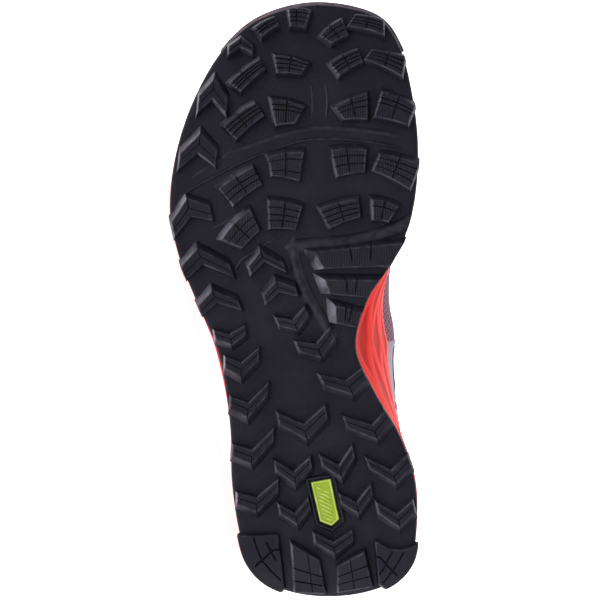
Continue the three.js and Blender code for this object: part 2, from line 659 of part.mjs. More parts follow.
// Outer face of the upper: share 0 at the footbed, 1 at the top edge
function ribPoint(around, share) {
  const foot = footPoint(around, upperInset, fitGap);
  const normal = outlineNormal(around);
  const bulge = foot.clone().addScaledVector(normal, bulgeOut(around) * soleWidth);
  bulge.z = footbedHeight(foot.y) + bulgeHeight(around) * upperHeight;
  if (share <= ribRimShare) {
    return foot.addScaledVector(up, (rimClear - fitGap) * share / ribRimShare);
  }
  if (share <= ribBulgeShare) {
    const climb = (share - ribRimShare) / (ribBulgeShare - ribRimShare);
    const start = foot.z + rimClear - fitGap;
    const point = foot.lerp(bulge, smooth(climb));
    return point.setZ(THREE.MathUtils.lerp(start, bulge.z, climb));
  }
  const top = new THREE.Vector3(topSide(around) * soleWidth, topStation(around) * soleLength, 0);
  top.z = heelStack + topRise(around) * upperHeight;
  const span = top.distanceTo(bulge);
  const inward = top.clone().sub(bulge).setZ(0).normalize();
  const lean = THREE.MathUtils.degToRad(topLean(around));
  const arrive = inward.multiplyScalar(Math.cos(lean)).addScaledVector(up, Math.sin(lean));
  const curve = new THREE.CubicBezierCurve3(
    bulge,
    bulge.clone().addScaledVector(up, lowHandle(around) * span),
    top.clone().addScaledVector(arrive, -highHandle(around) * span),
    top,
  );
  return curve.getPoint((share - ribBulgeShare) / (1 - ribBulgeShare));
}

function upperNormal(around, share) {
  const step = 0.004;
  const round = ribPoint(around + step, share).sub(ribPoint(around - step, share));
  const climb = ribPoint(around, Math.min(share + step, 1)).sub(ribPoint(around, Math.max(share - step, 0)));
  return round.cross(climb).normalize();
}

// Point outside the upper's outer face by gap, or inside it where gap is negative
function upperPoint(around, share, gap) {
  return ribPoint(around, share).addScaledVector(upperNormal(around, share), gap);
}

const padFrom = 0.5;
const padFull = 0.82;

function wallThickness(around, share) {
  return wall + collarPad * padShare(around) * smooth((share - padFrom) / (padFull - padFrom));
}

// Share of the rib that lies a given length below the top edge
function shareBelowTop(around, length) {
  const steps = 40;
  let share = 1;
  let covered = 0;
  let point = ribPoint(around, share);
  while (covered < length && share > 0) {
    share -= 1 / steps;
    const next = ribPoint(around, Math.max(share, 0));
    covered += next.distanceTo(point);
    point = next;
  }
  return Math.max(share, 0);
}

function spread(from, to, count) {
  return Array.from({ length: count + 1 }, (_, index) => THREE.MathUtils.lerp(from, to, index / count));
}

// Columns of the upper's own grid between two places, so that what lies on it has the same facets
function gridBetween(from, to) {
  const first = Math.ceil(from * aroundSteps);
  const last = Math.floor(to * aroundSteps);
  return Array.from({ length: last - first + 1 }, (_, index) => (first + index) / aroundSteps);
}

// A patch of the upper's own surface from a low to a high share of each rib, just clear of it
function overlayGeometry(arounds, lowShare, highShare, thickness) {
  const columns = (gap) => arounds.map((around) => ribSteps.map((step) => (
    upperPoint(around, THREE.MathUtils.clamp(step, lowShare(around), highShare(around)), gap))));
  return thickSheet(columns(overlayGap + thickness), columns(overlayGap), false);
}

function eyeletPlaces() {
  const from = aroundOf(0.93, 'lateral');
  const to = aroundOf(0.47, 'lateral');
  const arounds = spread(from, to, eyeletRows - 1);
  return arounds.map((around) => [around, 1 - around]);
}

// Cylinder through the upper and the overlay at one eyelet
function eyeletHole(around) {
  const share = shareBelowTop(around, eyeletInset);
  const reach = 4 * (wall + overlayThickness);
  const hole = new THREE.CylinderGeometry(eyeletRadius, eyeletRadius, reach, eyeletSides);
  const axis = new THREE.Vector3(0, 1, 0);
  hole.applyQuaternion(new THREE.Quaternion().setFromUnitVectors(axis, upperNormal(around, share)));
  hole.translate(...upperPoint(around, share, 0));
  return solidOf(hole);
}

function pierced(geometry) {
  const holes = eyeletPlaces().flat().map(eyeletHole);
  return geometryOfSolid(holes.reduce((rest, hole) => rest.subtract(hole), solidOf(geometry)));
}

function upperGeometry() {
  const arounds = Array.from({ length: aroundSteps }, (_, index) => index / aroundSteps);
  const outer = arounds.map((around) => ribSteps.map((share) => upperPoint(around, share, 0)));
  const inner = arounds.map((around) => ribSteps.map((share) => (
    upperPoint(around, share, -wallThickness(around, share)))));
  return pierced(thickSheet(outer, inner, true));
}

function eyestayGeometry() {
  const arounds = gridBetween(aroundOf(eyestayFrom, 'lateral'), aroundOf(eyestayFrom, 'medial'));
  const low = (around) => shareBelowTop(around, eyestayWidth);
  const high = (around) => shareBelowTop(around, throatMargin);
  return pierced(overlayGeometry(arounds, low, high, overlayThickness));
}

function counterGeometry() {
  const reach = aroundOf(counterTo, 'lateral');
  const high = (around) => counterTop - counterFall * smooth(Math.abs(around) / reach);
  return overlayGeometry(gridBetween(-reach, reach), () => counterFoot, high, overlayThickness);
}

// The toe bumper covers the midsole's side, steps over the rim and climbs the upper
function bumperGeometry() {
  const arounds = gridBetween(aroundOf(bumperFrom, 'lateral'), aroundOf(bumperFrom, 'medial'));
  const middle = 0.5;
  const reach = middle - aroundOf(bumperFrom, 'lateral');
  const column = (around, gap) => {
    const top = bumperTop - bumperFall * smooth(Math.abs(around - middle) / reach);
    const low = wallRows.slice(1).map((row) => sidePoint(around, row.up, gap));
    const high = ribSteps.slice(1, 5).map((step) => THREE.MathUtils.clamp(step, bumperFoot, top));
    return [...low, ...high.map((share) => upperPoint(around, share, gap))];
  };
  const outer = arounds.map((around) => column(around, fitGap + bumperThickness));
  const inner = arounds.map((around) => column(around, fitGap));
  return thickSheet(outer, inner, false);
}

// Insole

function insoleGeometry() {
  const inset = upperInset + wall + 2 * fitGap;
  return stackedRings([
    innerRing(inset + insoleBevel, fitGap),
    innerRing(inset, fitGap + insoleThickness / 2),
    innerRing(inset, fitGap + insoleThickness + insoleLip),
    innerRing(inset + insoleEdge, fitGap + insoleThickness + insoleLip),
    innerRing(inset + insoleLipWidth, fitGap + insoleThickness),
  ]);
}

// Tongue

function tongueSection(index, under) {
  const place = (row) => new THREE.Vector3(row.side * soleWidth, row.station * soleLength,
    heelStack + row.height * upperHeight);
  const row = tongueRows[index];
  const before = place(tongueRows[Math.max(index - 1, 0)]);
  const after = place(tongueRows[Math.min(index + 1, tongueRows.length - 1)]);
  const run = after.sub(before).normalize();
  const out = new THREE.Vector3(0, run.z, -run.y).normalize();
  return tongueAcross.map((across) => {
    const taper = 1 - 0.6 * across ** 2;
    const sink = row.fall * soleWidth * across ** 2 + (under ? row.full * tongueThickness * taper : 0);
    const point = place(row).addScaledVector(out, -sink);
    point.x += across * row.half * soleWidth;
    return point;
  });
}

function tongueGeometry() {
  const top = tongueRows.map((_, index) => tongueSection(index, false));
  const under = tongueRows.map((_, index) => tongueSection(index, true));
  return thickSheet(top, under, false);
}

// Lace

// Height of the tongue's crown over a place along the shoe
function tongueCrown(y) {
  const rows = tongueRows.toReversed();
  return heelStack + along(rows, 'station', 'height', y / soleLength) * upperHeight;
}

// A flat bar from one eyelet over the tongue to another, lifted by above where it crosses over its partner
function laceBar(fromAround, toAround, above) {
  const lift = overlayGap + overlayThickness + fitGap + laceThickness / 2 + laceSpring + above;
  const seat = (around) => upperPoint(around, shareBelowTop(around, eyeletInset), lift);
  const edge = (around) => upperPoint(around, 1, lift);
  const start = seat(fromAround);
  const end = seat(toAround);
  const middle = edge(fromAround).add(edge(toAround)).multiplyScalar(0.5);
  middle.z = Math.max(middle.z, tongueCrown(middle.y) + fitGap + laceThickness / 2) + 2 * laceSpring + above;
  const path = new THREE.CatmullRomCurve3([start, edge(fromAround), middle, edge(toAround), end]);
  const steps = 4;
  const half = new THREE.Vector2(laceWidth / 2, laceThickness / 2);
  const columns = Array.from({ length: steps + 1 }, (_, index) => {
    const share = index / steps;
    const point = path.getPoint(share);
    const run = path.getTangent(share);
    const tilt = upperNormal(fromAround, 1).lerp(upperNormal(toAround, 1), share).normalize();
    const wide = tilt.clone().cross(run).normalize();
    const out = run.clone().cross(wide).normalize();
    const corner = (x, y) => point.clone().addScaledVector(wide, x * half.x).addScaledVector(out, y * half.y);
    return { top: [corner(-1, 1), corner(1, 1)], under: [corner(-1, -1), corner(1, -1)] };
  });
  return solidOf(thickSheet(columns.map((one) => one.top), columns.map((one) => one.under), false));
}

function laceGeometry() {
  const places = eyeletPlaces();
  const bars = [laceBar(places[0][0], places[0][1], 0)];
  for (let row = 0; row + 1 < places.length; row += 1) {
    bars.push(laceBar(places[row][0], places[row + 1][1], 0));
    bars.push(laceBar(places[row][1], places[row + 1][0], laceCrossLift));
  }
  return geometryOfSolid(bars.reduce((sum, bar) => sum.add(bar)));
}

// Pose on the ground

function trianglesOf(mesh) {
  const { attributes: { position }, index: order } = mesh.geometry;
  const corner = (place) => new THREE.Vector3().fromBufferAttribute(position, order.getX(place));
  return Array.from({ length: order.count / 3 }, (_, face) => [0, 1, 2].map((turn) => corner(3 * face + turn)));
}

function centerOfVolume(meshes) {
  const sum = new THREE.Vector3();
  let volume = 0;
  for (const [a, b, c] of meshes.flatMap(trianglesOf)) {
    const part = a.dot(b.clone().cross(c)) / 6;
    volume += part;
    sum.addScaledVector(a.clone().add(b).add(c), part / 4);
  }
  return sum.divideScalar(volume);
}

// The outer-side face of the shoe's hull on which it lies at rest
function restingNormal(meshes) {
  const hull = new ConvexHull().setFromPoints(meshes.flatMap(trianglesOf).flat());
  const center = centerOfVolume(meshes);
  const sideways = 0.5;
  const stable = hull.faces.filter((face) => {
    if (face.normal.x < sideways) return false;
    const corners = [];
    let edge = face.edge;
    do {
      corners.push(edge.head().point);
      edge = edge.next;
    } while (edge !== face.edge);
    const foot = center.clone().addScaledVector(face.normal, face.distanceToPoint(center) * -1);
    return corners.every((corner, index) => {
      const run = corners[(index + 1) % corners.length].clone().sub(corner);
      return run.cross(foot.clone().sub(corner)).dot(face.normal) >= 0;
    });
  });
  stable.sort((a, b) => Math.abs(a.distanceToPoint(center)) - Math.abs(b.distanceToPoint(center)));
  return stable[0].normal.clone();
}

// Turns the shoe onto its outer side, its tread facing -Y, and centres it on the ground
function layOnSide(group, meshes) {
  const down = up.clone().negate();
  group.quaternion.setFromUnitVectors(restingNormal(meshes), down);
  const tread = down.clone().applyQuaternion(group.quaternion);
  const yaw = -Math.PI / 2 - Math.atan2(tread.y, tread.x);
  group.quaternion.premultiply(new THREE.Quaternion().setFromAxisAngle(up, yaw));
  group.updateMatrixWorld(true);
  const box = new THREE.Box3().setFromObject(group, true);
  const center = box.getCenter(new THREE.Vector3());
  group.position.set(-center.x, -center.y, -box.min.z);
}

// Materials

const rubber = new THREE.MeshStandardMaterial({ color: 0x23232b, roughness: 0.62, metalness: 0 });
const lime = new THREE.MeshStandardMaterial({ color: 0x9baf3e, roughness: 0.45, metalness: 0 });
const foam = new THREE.MeshStandardMaterial({ color: 0xe84b45, roughness: 0.55, metalness: 0 });
const plum = new THREE.MeshStandardMaterial({ color: 0x645a63, roughness: 0.6, metalness: 0 });
const mesh = new THREE.MeshStandardMaterial({ color: 0x9a707f, roughness: 0.9, metalness: 0 });
const trim = new THREE.MeshStandardMaterial({ color: 0x453c46, roughness: 0.7, metalness: 0 });
const lilac = new THREE.MeshStandardMaterial({ color: 0xa193a3, roughness: 0.85, metalness: 0 });
const coralCloth = new THREE.MeshStandardMaterial({ color: 0xdc5450, roughness: 0.9, metalness: 0 });

function namedMesh(name, geometry, material) {
  const piece = new THREE.Mesh(geometry, material);
  piece.name = name;
  return piece;
}

const shoe = new THREE.Group();
shoe.add(
  namedMesh('outsole', outsoleGeometry(), rubber),
  namedMesh('heel_badge', badgeGeometry(), lime),
  namedMesh('midsole', midsoleGeometry(), foam),
  namedMesh('toe_bumper', bumperGeometry(), plum),
  namedMesh('upper', upperGeometry(), mesh),
  namedMesh('eyestay', eyestayGeometry(), trim),
  namedMesh('heel_counter', counterGeometry(), trim),
  namedMesh('tongue', tongueGeometry(), lilac),
  namedMesh('insole', insoleGeometry(), lilac),
  namedMesh('lace', laceGeometry(), coralCloth),
);
layOnSide(shoe, shoe.children);

const group = new THREE.Group();
group.add(shoe);

export default group;
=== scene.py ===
import bpy
import bmesh
import math
import numpy as np
from mathutils import Matrix, Quaternion
from mathutils.kdtree import KDTree


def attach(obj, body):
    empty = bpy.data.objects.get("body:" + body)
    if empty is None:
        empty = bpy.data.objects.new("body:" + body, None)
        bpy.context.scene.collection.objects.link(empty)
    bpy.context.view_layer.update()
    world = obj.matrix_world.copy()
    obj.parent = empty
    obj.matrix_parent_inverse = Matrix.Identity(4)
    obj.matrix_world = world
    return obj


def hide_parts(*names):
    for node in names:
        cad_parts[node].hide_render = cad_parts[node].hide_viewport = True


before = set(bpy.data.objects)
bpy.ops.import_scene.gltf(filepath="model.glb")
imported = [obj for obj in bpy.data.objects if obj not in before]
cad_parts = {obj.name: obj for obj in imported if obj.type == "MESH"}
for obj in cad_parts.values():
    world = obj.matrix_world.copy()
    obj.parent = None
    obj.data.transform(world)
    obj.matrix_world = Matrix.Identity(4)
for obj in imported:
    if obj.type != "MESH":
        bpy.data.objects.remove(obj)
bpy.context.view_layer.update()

# A right trail running shoe that lies on its outer side.
# Shapes are made in the shoe's own frame, in millimetres: +X outer side, +Y heel to toe, +Z up
body = "root"
pose = {"turn": (-0.416574, 0.4864543, -0.5833403, -0.4995422), "place": (0.1383081, -0.0602128, 0.0363301)}
poseTurn = np.array(Quaternion(pose["turn"]).to_matrix())
posePlace = np.array(pose["place"])


def toRow(points):
    return np.asarray(points, float) @ poseTurn.T * 0.001 + posePlace


def toeReach(points):  # the raised toe is read a little short in a view from below, so it reaches further
    points = np.array(points, float)
    points[..., 1] += sole["toeReach"] * smooth((points[..., 1] / sole["length"] - 0.78) / 0.22)
    return points


def linear(code):  # colour from a hex code
    parts = [int(code[i:i + 2], 16) / 255 for i in (0, 2, 4)]
    return tuple(c / 12.92 if c < 0.04045 else ((c + 0.055) / 1.055) ** 2.4 for c in parts) + (1.0,)


# Camera at the photo's place: straight below the sole, rolled so that the toe is up
camera = {"place": (8.27, 139.5, -900.0), "lens": 117.48}
cameraData = bpy.data.cameras.new("photoCamera")
cameraData.lens = camera["lens"]
cameraData.sensor_width = 36.0
cameraData.clip_end = 200.0
cameraObject = bpy.data.objects.new("photoCamera", cameraData)
cameraTurn = Matrix((-poseTurn[:, 0], poseTurn[:, 1], -poseTurn[:, 2])).transposed().to_4x4()
cameraObject.matrix_world = Matrix.Translation(toRow(camera["place"])) @ cameraTurn
bpy.context.collection.objects.link(cameraObject)
bpy.context.scene.camera = cameraObject
print("camera placed")

# Named lines of the shoe, at its stations from heel to toe, as shares of its sizes
sole = {"length": 280.0, "width": 114.0, "heelStack": 28.0, "foreStack": 20.0, "toeSpring": 20.0,
"heelBevel": 6.0,
        "archRise": 2.5, "lug": 4.0, "sheet": 2.0, "rimHeight": 6.0, "rimWidth": 3.0, "fit": 0.3,
        "toeReach": 2.4,
        "springFrom": 0.73}
upperSizes = {"height": 67.0, "wall": 2.0, "pad": 3.0, "rimClear": 7.0}
outline = {
    "at": [0.013, 0.033, 0.068, 0.120, 0.201, 0.275, 0.349, 0.420, 0.498, 0.572, 0.647, 0.746, 0.839, 0.916,
           0.963],
    "outer": [0.100, 0.212, 0.284, 0.321, 0.349, 0.353, 0.373, 0.412, 0.495, 0.565, 0.600, 0.572, 0.493,
              0.376,
              0.235],
    "inner": [-0.190, -0.308, -0.378, -0.400, -0.394, -0.333, -0.228, -0.156, -0.203, -0.320, -0.386, -0.407,
              -0.384, -0.334, -0.250],
}
heelTip = (0.006, -0.04)
toeTip = (0.987, 0.0)
rimFlareTable = {
    "at": [0.0, 0.120, 0.201, 0.275, 0.349, 0.420, 0.498, 0.572, 0.647, 0.839, 0.916, 1.0],
    "outer": [-0.010, -0.015, -0.015, -0.013, 0.004, 0.009, -0.011, -0.030, -0.038, -0.032, -0.006, 0.014],
    "inner": [-0.010, 0.002, 0.003, 0.010, 0.082, 0.134, 0.072, -0.020, -0.034, -0.030, -0.016, 0.014],
}
bulgeTable = {
    "at": [0.0, 0.15, 0.275, 0.42, 0.457, 0.485, 0.515, 0.572, 0.746, 0.916, 1.0],
    "outer": [0.022, 0.022, 0.024, 0.020, 0.019, 0.018, 0.017, 0.016, 0.014, 0.012, 0.012],
    "inner": [0.022, 0.024, 0.040, 0.068, 0.080, 0.084, 0.070, 0.040, 0.016, 0.012, 0.012],
    "height": [0.30, 0.29, 0.30, 0.33, 0.328, 0.325, 0.32, 0.31, 0.27, 0.24, 0.22],
}
toplineTable = {
    "at": [0.0, 0.03, 0.08, 0.15, 0.25, 0.35, 0.42, 0.47, 0.55, 0.65, 0.75, 0.87, 1.0],
    "end": [0.026, 0.040, 0.090, 0.160, 0.257, 0.346, 0.410, 0.453, 0.503, 0.560, 0.611, 0.648, 0.664],
    "outer": [-0.028, 0.110, 0.198, 0.238, 0.256, 0.260, 0.240, 0.214, 0.186, 0.160, 0.138, 0.106, 0.028],
    "inner": [-0.028, -0.166, -0.254, -0.286, -0.292, -0.272, -0.232, -0.198, -0.158, -0.122, -0.092,
              -0.052, 0.028],
    "rise": [1.0, 0.985, 0.880, 0.745, 0.665, 0.730, 0.890, 0.985, 0.920, 0.800, 0.700, 0.625, 0.600],
    "lean": [97, 96, 93, 90, 88, 78, 64, 54, 46, 38, 30, 22, 14],
    "low": [0.34, 0.34, 0.35, 0.36, 0.36, 0.38, 0.38, 0.37, 0.35, 0.32, 0.28, 0.24, 0.20],
    "high": [0.40, 0.40, 0.38, 0.36, 0.36, 0.36, 0.36, 0.36, 0.36, 0.38, 0.40, 0.44, 0.48],
}
padTable = {"at": [0.0, 0.25, 0.35, 0.42, 0.47, 0.55, 0.65, 1.0], "pad": [1, 1, 1, 0.6, 0.2, 0, 0, 0]}


def smooth(share):
    t = np.clip(share, 0, 1)
    return t * t * (3 - 2 * t)


def spread(*values):  # values as arrays of one shape
    return np.broadcast_arrays(*(np.asarray(value, float) for value in values))


def unit(vectors):
    return vectors / np.linalg.norm(vectors, axis=-1, keepdims=True)


def sideways(runs):  # each flat direction turned a quarter to the right
    return np.stack([runs[..., 1], -runs[..., 0]], -1)


def stepLengths(points, axis=0):
    return np.linalg.norm(np.diff(points, axis=axis), axis=-1)


def travelled(path):  # length of the path up to each of its points
    return np.concatenate([[0], np.cumsum(stepLengths(path))])


def along(keys, values, at):  # smooth value between the rows of a table
    keys, values, at = (np.asarray(x, float) for x in (keys, values, at))
    index = np.arange(len(keys))
    before, after = np.maximum(index - 1, 0), np.minimum(index + 1, len(keys) - 1)
    slope = (values[after] - values[before]) / (keys[after] - keys[before])
    end = np.clip(np.searchsorted(keys, at, side="right"), 1, len(keys) - 1)
    start = end - 1
    span = keys[end] - keys[start]
    t = np.clip((at - keys[start]) / span, 0, 1)
    t2, t3 = t * t, t * t * t
    return ((2 * t3 - 3 * t2 + 1) * values[start] + (t3 - 2 * t2 + t) * slope[start] * span
            + (3 * t2 - 2 * t3) * values[end] + (t3 - t2) * slope[end] * span)


stations = [heelTip[0], *outline["at"], toeTip[0]]


def aroundOf(at, inner=False):  # place round the shoe: 0 heel, outer side, 0.5 toe, inner side, 1 heel
    half = np.interp(at, stations, np.arange(len(stations))) / (len(stations) - 1) / 2
    return 1 - half if inner else half


def roundTable(table, outer, inner):
    ring = [(aroundOf(at), value) for at, value in zip(table["at"], table[outer])]
    ring += [(aroundOf(at, True), value) for at, value in zip(table["at"], table[inner])][1:-1][::-1]
    closed = [(a - 1, v) for a, v in ring[-2:]] + ring + [(a + 1, v) for a, v in ring[:3]]
    keys, values = zip(*closed)
    return lambda around: along(keys, values, np.asarray(around, float) % 1.0)


rimFlare = roundTable(rimFlareTable, "outer", "inner")
bulgeOut = roundTable(bulgeTable, "outer", "inner")
bulgeHeight = roundTable(bulgeTable, "height", "height")
topEnd = roundTable(toplineTable, "end", "end")
topSide = roundTable(toplineTable, "outer", "inner")
topRise = roundTable(toplineTable, "rise", "rise")
topLean = roundTable(toplineTable, "lean", "lean")
lowHandle = roundTable(toplineTable, "low", "low")
highHandle = roundTable(toplineTable, "high", "high")
padShare = roundTable(padTable, "pad", "pad")

outlineKnots = np.array(
    [(heelTip[1], heelTip[0])] + list(zip(outline["outer"], outline["at"])) + [(toeTip[1], toeTip[0])]
    + list(zip(outline["inner"], outline["at"]))[::-1]) * (sole["width"], sole["length"])


def outlinePoint(around):
    count = len(outlineKnots)
    place = (np.asarray(around, float) % 1.0) * count
    first = np.floor(place).astype(int)
    t = (place - first)[..., None]
    p = [outlineKnots[(first + shift) % count] for shift in (-1, 0, 1, 2)]
    g = [np.sqrt(np.linalg.norm(p[k + 1] - p[k], axis=-1))[..., None] for k in range(3)]
    leave = ((p[1] - p[0]) / g[0] - (p[2] - p[0]) / (g[0] + g[1]) + (p[2] - p[1]) / g[1]) * g[1]
    arrive = ((p[2] - p[1]) / g[1] - (p[3] - p[1]) / (g[1] + g[2]) + (p[3] - p[2]) / g[2]) * g[1]
    return (p[1] + leave * t + (3 * (p[2] - p[1]) - 2 * leave - arrive) * t ** 2
            + (2 * (p[1] - p[2]) + leave + arrive) * t ** 3)


def outlineNormal(around):
    step = 1 / 64
    run = outlinePoint(np.asarray(around) + step) - outlinePoint(np.asarray(around) - step)
    return unit(sideways(run))


def springRise(at):  # how far the toe curves up at a station
    return sole["toeSpring"] * np.maximum((at - sole["springFrom"]) / (1 - sole["springFrom"]), 0) ** 2


def groundRise(y):  # height of the lug tips over the ground
    at = np.asarray(y) / sole["length"]
    bevel = sole["heelBevel"] * np.maximum((0.1 - at) / 0.1, 0) ** 2
    arch = np.clip((at - 0.3) / 0.26, 0, 1)
    return springRise(at) + bevel + sole["archRise"] * np.sin(math.pi * arch) ** 2


def footbedHeight(y):
    at = np.asarray(y) / sole["length"]
    drop = (sole["heelStack"] - sole["foreStack"]) * smooth((at - 0.28) / 0.36)
    return sole["heelStack"] - drop + 0.75 * springRise(at)


def spatial(flat, height):
    return np.concatenate([flat, np.broadcast_to(height, flat.shape[:-1])[..., None]], -1)


wallShares = {"up": [0, 0.14, 0.32, 0.48, 0.66, 0.86, 1.0], "flare": [0, 0.20, 0.48, 0.66, 0.82, 0.95, 1.0]}


def sidePoint(around, share, gap=0.0):  # side of the midsole, 0 at the tread and 1 at the rim
    around, share, gap = spread(around, share, gap)
    flare = along(wallShares["up"], wallShares["flare"], share) * rimFlare(around) * sole["width"]
    flat = outlinePoint(around) + outlineNormal(around) * (flare + gap)[..., None]
    low = groundRise(flat[..., 1]) + sole["lug"] + sole["sheet"] + sole["fit"]
    high = footbedHeight(flat[..., 1]) + sole["rimHeight"]
    return spatial(flat, low + (high - low) * share)


def footPoint(around, inset, above):
    around, inset, above = spread(around, inset, above)
    reach = rimFlare(around) * sole["width"] - inset
    flat = outlinePoint(around) + outlineNormal(around) * reach[..., None]
    return spatial(flat, footbedHeight(flat[..., 1]) + above)


upperInset = sole["rimWidth"] + sole["fit"]
# Shares of the upper's rib: where the rim and the bulge lie, and how much the swell and the curve take
rib = {"rim": 0.12, "bulge": 0.34, "swell": 0.22, "curve": 0.66}


def ribPoint(around, share):  # outer face of the upper: share 0 at the footbed, 1 at the top edge
    around, share = spread(around, share)
    foot = footPoint(around, upperInset, sole["fit"])
    bulge = foot.copy()
    bulge[..., :2] += outlineNormal(around) * (bulgeOut(around) * sole["width"])[..., None]
    bulge[..., 2] = footbedHeight(foot[..., 1]) + bulgeHeight(around) * upperSizes["height"]
    rim = upperSizes["rimClear"] - sole["fit"]
    straight = foot.copy()
    straight[..., 2] += rim * share / rib["rim"]
    climb = (share - rib["rim"]) / rib["swell"]
    swell = foot + (bulge - foot) * smooth(climb)[..., None]
    swell[..., 2] = foot[..., 2] + rim + (bulge[..., 2] - foot[..., 2] - rim) * climb
    top = spatial(np.stack([topSide(around) * sole["width"], topEnd(around) * sole["length"]], -1),
                  sole["heelStack"] + topRise(around) * upperSizes["height"])
    span = np.linalg.norm(top - bulge, axis=-1, keepdims=True)
    inward = unit((top - bulge) * (1, 1, 0))
    lean = np.radians(topLean(around))[..., None]
    arrive = inward * np.cos(lean) + np.sin(lean) * np.array((0, 0, 1.0))
    first = bulge + lowHandle(around)[..., None] * span * np.array((0, 0, 1.0))
    second = top - arrive * highHandle(around)[..., None] * span
    t = np.clip((share - rib["bulge"]) / rib["curve"], 0, 1)[..., None]
    curve = (1 - t) ** 3 * bulge + 3 * (1 - t) ** 2 * t * first + 3 * (1 - t) * t ** 2 * second + t ** 3 * top
    where = share[..., None]
    return np.where(where <= rib["rim"], straight, np.where(where <= rib["bulge"], swell, curve))


def upperNormal(around, share):
    around, share = spread(around, share)
    step = 0.004
    run = ribPoint(around + step, share) - ribPoint(around - step, share)
    climb = ribPoint(around, np.minimum(share + step, 1)) - ribPoint(around, np.maximum(share - step, 0))
    return unit(np.cross(run, climb))


def upperPoint(around, share, gap):
    return ribPoint(around, share) + upperNormal(around, share) * np.asarray(gap, float)[..., None]


def belowTop(around, length):  # share of the rib that lies this far below the top edge
    shares = np.linspace(1, 0, 81)
    return float(np.interp(length, travelled(ribPoint(around, shares)), shares))


# Mesh tools. A shape is a dictionary of points, faces, corner coordinates and point masks
def shapeOf(points, faces, uv=None, masks=None):
    count = sum(len(face) for face in faces)
    uv = np.zeros((count, 2)) if uv is None else np.asarray(uv, float).reshape(-1, 2)
    return {"points": np.asarray(points, float).reshape(-1, 3), "faces": faces, "uv": uv,
            "masks": masks or {}}


def gridShape(points, closed=False, loop=False, uv=None, masks=None, flip=False):
    columns, rows = points.shape[:2]
    c = np.arange(columns if closed else columns - 1)[:, None]
    r = np.arange(rows if loop else rows - 1)[None, :]
    c, r = np.broadcast_arrays(c, r)
    corners = [(c, r), (c + 1, r), (c + 1, r + 1), (c, r + 1)]
    if flip:
        corners = corners[::-1]
    faces = np.stack([(a % columns) * rows + b % rows for a, b in corners], -1).reshape(-1, 4)
    if uv is None:
        uvCorners = np.zeros((faces.size, 2))
    else:
        uvCorners = np.stack([uv[a, b] for a, b in corners], 2).reshape(-1, 2)
    flatMasks = {name: np.broadcast_to(value, (columns, rows)).reshape(-1)
                 for name, value in (masks or {}).items()}
    return shapeOf(points.reshape(-1, 3), faces.tolist(), uvCorners, flatMasks)


def lengthsAlong(points, axis):
    steps = stepLengths(points, axis)
    pad = [(0, 0), (0, 0)]
    pad[axis] = (1, 0)
    return np.pad(np.cumsum(steps, axis=axis), pad)


def clothCoordinates(points, closed, middleRow):  # real lengths round and up a sheet
    ring = np.concatenate([points, points[:1]], 0) if closed else points
    around = lengthsAlong(ring[:, middleRow:middleRow + 1], 0)
    up = lengthsAlong(ring, 1)
    return np.stack([np.broadcast_to(around, up.shape), up], -1)


def newObject(name, data):
    item = bpy.data.objects.new(name, data)
    bpy.context.collection.objects.link(item)
    return item


def evaluated(item):
    return bpy.data.meshes.new_from_object(item.evaluated_get(bpy.context.evaluated_depsgraph_get()))


def withFaces(shape, faces):  # the shape with plain faces that close it
    shape["faces"] += faces
    shape["uv"] = np.concatenate([shape["uv"], np.zeros((sum(len(face) for face in faces), 2))])
    return shape


def joined(shapes):
    points, faces, offset = [], [], 0
    for shape in shapes:
        points.append(shape["points"])
        faces += [[vertex + offset for vertex in face] for face in shape["faces"]]
        offset += len(shape["points"])
    return np.concatenate(points), faces


def makePiece(name, shapes, material, standsFor=(), sharp=38, weld=0.004):
    points, faces = joined(shapes)
    mesh = bpy.data.meshes.new(name)
    mesh.from_pydata(toRow(toeReach(points)).tolist(), [], faces)
    uv = np.concatenate([shape["uv"] for shape in shapes])
    mesh.uv_layers.new(name="cloth").data.foreach_set("uv", uv.ravel())
    for mask in sorted({mask for shape in shapes for mask in shape["masks"]}):
        values = [shape["masks"].get(mask, np.zeros(len(shape["points"]))) for shape in shapes]
        mesh.attributes.new(mask, "FLOAT", "POINT").data.foreach_set("value", np.concatenate(values))
    mesh.materials.append(material)
    piece = newObject(name, mesh)
    tidyMesh(mesh, weld, sharp)
    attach(piece, body)
    if standsFor:
        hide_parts(*standsFor)
    print("made", name, len(mesh.polygons), "faces")
    return piece


def tidyMesh(mesh, weld, sharp):
    work = bmesh.new()
    work.from_mesh(mesh)
    bmesh.ops.remove_doubles(work, verts=work.verts, dist=weld * 0.001)
    bmesh.ops.dissolve_degenerate(work, edges=work.edges, dist=weld * 0.0002)
    bmesh.ops.recalc_face_normals(work, faces=work.faces)
    work.to_mesh(mesh)
    work.free()
    mesh.polygons.foreach_set("use_smooth", [True] * len(mesh.polygons))
    mesh.set_sharp_from_angle(angle=math.radians(sharp))


# Node tools. A colour may be given as a hex code
def connect(tree, socket, value):
    if isinstance(value, bpy.types.NodeSocket):
        tree.links.new(value, socket)
    else:
        socket.default_value = linear(value) if isinstance(value, str) else value


def addNode(tree, kind, inputs=None, **settings):
    node = tree.nodes.new(kind)
    for key, value in settings.items():
        setattr(node, key, value)
    for key, value in (inputs or {}).items():
        connect(tree, node.inputs[key], value)
    return node


def calc(tree, operation, first, second=0.0, clamp=False):
    node = addNode(tree, "ShaderNodeMath", {0: first, 1: second}, operation=operation, use_clamp=clamp)
    return node.outputs[0]


def mixColors(tree, share, first, second):
    return addNode(tree, "ShaderNodeMix", {0: share, 6: first, 7: second}, data_type="RGBA").outputs[2]


